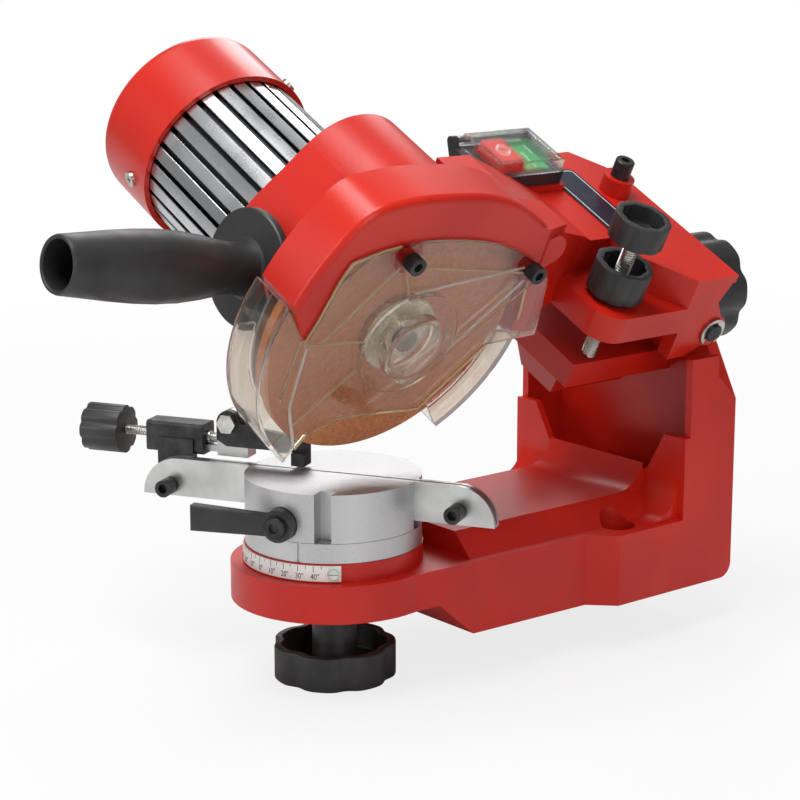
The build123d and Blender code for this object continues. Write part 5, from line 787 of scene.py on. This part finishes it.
# Switch: two sprung keys in a black frame under a clear flap. The red key carries a printed ring
# and the green one a bar.
key_red = finish("red key", (0.78, 0.045, 0.030), (0.66, 0.03, 0.02), 120.0, (0.26, 0.38),
                 (1200.0, 300.0, 0.3), (0.08, 0.0002))
cover(key_red, "off_button")
key_green = finish("green key", (0.025, 0.40, 0.10), (0.015, 0.31, 0.07), 120.0, (0.26, 0.38),
                   (1200.0, 300.0, 0.3), (0.08, 0.0002))
cover(key_green, "on_button")
flap_clear = finish("clear flap", (0.99, 0.99, 0.98), (0.94, 0.95, 0.94), 40.0, (0.03, 0.09),
                    (600.0, 90.0, 0.5), (0.04, 0.0002))
flap_shader = flap_clear.node_tree.nodes["Principled BSDF"]
flap_shader.inputs["Transmission Weight"].default_value = 1.0
flap_shader.inputs["IOR"].default_value = 1.4
flap_shader.inputs["Alpha"].default_value = 0.5
cover(flap_clear, "switch_flap")
white_print = finish("white print", (0.86, 0.86, 0.86), (0.74, 0.74, 0.74), 300.0, (0.4, 0.5),
                     (2000.0, 500.0, 0.3), (0.08, 0.0001))
keys_right = -58.0
off_middle, off_top = 119.0, 62.5
on_middle, on_top = 136.75, 57.55
ring_stretch = 1.25
print_flatness = 0.35
bpy.ops.mesh.primitive_torus_add(major_radius=0.0033, minor_radius=0.00045, major_segments=56,
                                 minor_segments=10)
ring = bpy.context.object
ring.data.transform(on_head(keys_right, off_middle, off_top)
                    @ Matrix.Diagonal((ring_stretch, 1.0, print_flatness, 1.0)))
smooth(ring, 40)
join_pieces([ring], "off_ring", white_print, "off_key")
bpy.ops.mesh.primitive_cube_add(size=1.0)
bar = bpy.context.object
bar_size = (0.0080, 0.0011, 0.0003)
bar_edge = 0.0001
bar.data.transform(on_head(keys_right, on_middle, on_top) @ Matrix.Diagonal((*bar_size, 1.0)))
bpy.ops.object.mode_set(mode="EDIT")
bpy.ops.mesh.select_all(action="SELECT")
bpy.ops.mesh.bevel(offset=bar_edge, segments=2)
bpy.ops.object.mode_set(mode="OBJECT")
join_pieces([bar], "on_bar", white_print, "on_key")

# Plate beside the switch: a dark blue printed plate, glued on and left without words. A thin
# pale line runs round it inside its edge.
plate_blue = finish("dark blue plate", (0.013, 0.017, 0.036), (0.008, 0.011, 0.024), 80.0, (0.26, 0.38),
                    (1500.0, 400.0, 0.3), (0.06, 0.0002))
cover(plate_blue, "label_plate")
bpy.ops.mesh.primitive_plane_add(size=1.0)
line = bpy.context.object
line_length = 0.0563
line_breadth = 0.0168
line_corner = 0.0030
line_width = 0.00045
line_thickness = 0.00008
plate_middle = (-27.75, 164.5, 47.1)
line.data.transform(Matrix.Diagonal((line_length, line_breadth, 1.0, 1.0)))
bpy.ops.object.mode_set(mode="EDIT")
bpy.ops.mesh.select_all(action="SELECT")
bpy.ops.mesh.bevel(offset=line_corner, segments=8, affect="VERTICES")
bpy.ops.mesh.select_all(action="SELECT")
bpy.ops.mesh.inset(thickness=line_width)
bpy.ops.mesh.delete(type="FACE")
bpy.ops.object.mode_set(mode="OBJECT")
edge_line = line.modifiers.new("thickness", "SOLIDIFY")
edge_line.thickness = line_thickness
edge_line.offset = 1.0
bpy.ops.object.modifier_apply(modifier="thickness")
line.data.transform(on_head(*plate_middle))
join_pieces([line], "plate_line", white_print, "head")

# Depth stop: a zinc-plated M8 rod that the upper knob turns and the lower knob locks. Its foot
# meets the bracket and sets how low the wheel can come.
rod_length = 0.0742
rod_root = 0.0034
rod_axis = (30.0, 137.5)
rod_foot = -8.2
depth_cup_foot = 63.5
lock_cup_foot = 32.2
depth_bar = round_bar(rod_root, rod_length, chamfer=0.0005)
depth_thread = rolled_thread(rod_root, crest=0.0040, pitch=0.00125, start=0.0010, turns=58)
threaded_rod = join_pieces([depth_bar, depth_thread], "threaded_rod", zinc, "depth_stop")
threaded_rod.data.transform(on_head(*rod_axis, rod_foot))
smooth(threaded_rod, 28)
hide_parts("depth_rod")
depth_cup = lobed_knob(radius=0.0147, height=0.0135, lobes=9, valley=0.0006, wall=0.0034, floor=0.005,
                       hub=0.0060, hub_top=0.0053)
place_knob(depth_cup, "depth_cup", on_head(*rod_axis, depth_cup_foot), "depth_wheel", "depth_knob")
lock_cup = lobed_knob(radius=0.0152, height=0.0168, lobes=9, valley=0.0007, wall=0.0036, floor=0.006,
                      hub=0.0062, hub_top=0.0063)
collar_length = 0.0029
lock_collar = turned_piece(((0.0, -collar_length), (0.0108, -collar_length), (0.0112, hub_bite),
                            (0.0, hub_bite)), 64)
place_knob(join_two(lock_cup, lock_collar), "lock_cup", on_head(*rod_axis, lock_cup_foot),
           "lock_wheel", "lock_knob")

# Floor: a pale sheet below the clamp knob, which hangs over the bench's edge. The camera sees it
# a little brighter than the lamps make it, so that it fades into the room around the part.
below_part = cad_box[0][2] - 0.0005
bpy.ops.mesh.primitive_plane_add(size=8.0, location=(0.0, 0.0, below_part))
floor = bpy.context.object
floor.name = "floor"
floor_paint = bpy.data.materials.new("pale floor")
floor_paint.use_nodes = True
tree = floor_paint.node_tree
tree.nodes["Principled BSDF"].inputs["Base Color"].default_value = (0.7, 0.7, 0.7, 1.0)
tree.nodes["Principled BSDF"].inputs["Roughness"].default_value = 0.7
glow = tree.nodes.new("ShaderNodeEmission")
where = tree.nodes.new("ShaderNodeTexCoord")
distance = tree.nodes.new("ShaderNodeVectorMath")
distance.operation = "LENGTH"
fade = tree.nodes.new("ShaderNodeMapRange")
fade.inputs["From Min"].default_value = 0.15
fade.inputs["From Max"].default_value = 1.1
fade.inputs["To Min"].default_value = 0.8
fade.inputs["To Max"].default_value = 1.0
path = tree.nodes.new("ShaderNodeLightPath")
seen_only = tree.nodes.new("ShaderNodeMath")
seen_only.operation = "MULTIPLY"
pale = tree.nodes.new("ShaderNodeMixShader")
tree.links.new(where.outputs["Object"], distance.inputs[0])
tree.links.new(distance.outputs["Value"], fade.inputs["Value"])
tree.links.new(fade.outputs["Result"], seen_only.inputs[0])
tree.links.new(path.outputs["Is Camera Ray"], seen_only.inputs[1])
tree.links.new(seen_only.outputs["Value"], pale.inputs["Fac"])
tree.links.new(tree.nodes["Principled BSDF"].outputs["BSDF"], pale.inputs[1])
tree.links.new(glow.outputs["Emission"], pale.inputs[2])
tree.links.new(pale.outputs["Shader"], tree.nodes["Material Output"].inputs["Surface"])
floor.data.materials.append(floor_paint)

# Studio: an even white room that shows as plain white, with four large soft lamps.
world = bpy.data.worlds.new("studio")
bpy.context.scene.world = world
world.use_nodes = True
tree = world.node_tree
room = tree.nodes["Background"]
room.inputs["Color"].default_value = (1.0, 1.0, 1.0, 1.0)
room.inputs["Strength"].default_value = 0.24
seen = tree.nodes.new("ShaderNodeBackground")
seen.inputs["Color"].default_value = (1.0, 1.0, 1.0, 1.0)
path = tree.nodes.new("ShaderNodeLightPath")
either = tree.nodes.new("ShaderNodeMath")
either.operation = "MAXIMUM"
choice = tree.nodes.new("ShaderNodeMixShader")
tree.links.new(path.outputs["Is Camera Ray"], either.inputs[0])
tree.links.new(path.outputs["Is Transmission Ray"], either.inputs[1])
tree.links.new(either.outputs["Value"], choice.inputs["Fac"])
tree.links.new(room.outputs["Background"], choice.inputs[1])
tree.links.new(seen.outputs["Background"], choice.inputs[2])
tree.links.new(choice.outputs["Shader"], tree.nodes["World Output"].inputs["Surface"])
for lamp_name, spot, size, power in (
    ("top lamp", (0.1, -0.5, 1.6), 0.9, 24.0),
    ("right lamp", (1.7, -0.5, 0.6), 0.7, 6.0),
    ("front lamp", (-0.3, -1.6, 0.7), 0.8, 7.0),
    ("rear lamp", (-1.2, 0.9, 1.2), 0.9, 10.0),
):
    lamp_data = bpy.data.lights.new(lamp_name, "AREA")
    lamp_data.size = size
    lamp_data.energy = power
    lamp = bpy.data.objects.new(lamp_name, lamp_data)
    bpy.context.scene.collection.objects.link(lamp)
    lamp.location = spot
    aim = Vector((0.0, -0.05, 0.12)) - Vector(spot)
    lamp.rotation_euler = aim.to_track_quat("-Z", "Y").to_euler()

# Camera: from the right and a little above, where wheel, guard, handle and depth stop all show,
# and far enough away for a quiet perspective.
view_turn = radians(50.82)
view_rise = radians(12.96)
view_distance = 1.1842
look_at = Vector((-0.0331, -0.0801, 0.1022))
view_back = Vector((sin(view_turn) * cos(view_rise), -cos(view_turn) * cos(view_rise), sin(view_rise)))
view_right = Vector((cos(view_turn), sin(view_turn), 0.0))
camera_data = bpy.data.cameras.new("camera")
camera_data.sensor_width = 36.0
camera_data.lens = 101.25
camera_data.clip_start = 0.05
camera = bpy.data.objects.new("camera", camera_data)
bpy.context.scene.collection.objects.link(camera)
camera_axes = Matrix((view_right, view_back.cross(view_right), view_back)).transposed().to_4x4()
camera.matrix_world = Matrix.Translation(look_at + view_back * view_distance) @ camera_axes
bpy.context.scene.camera = camera
bpy.context.scene.view_settings.view_transform = "Standard"
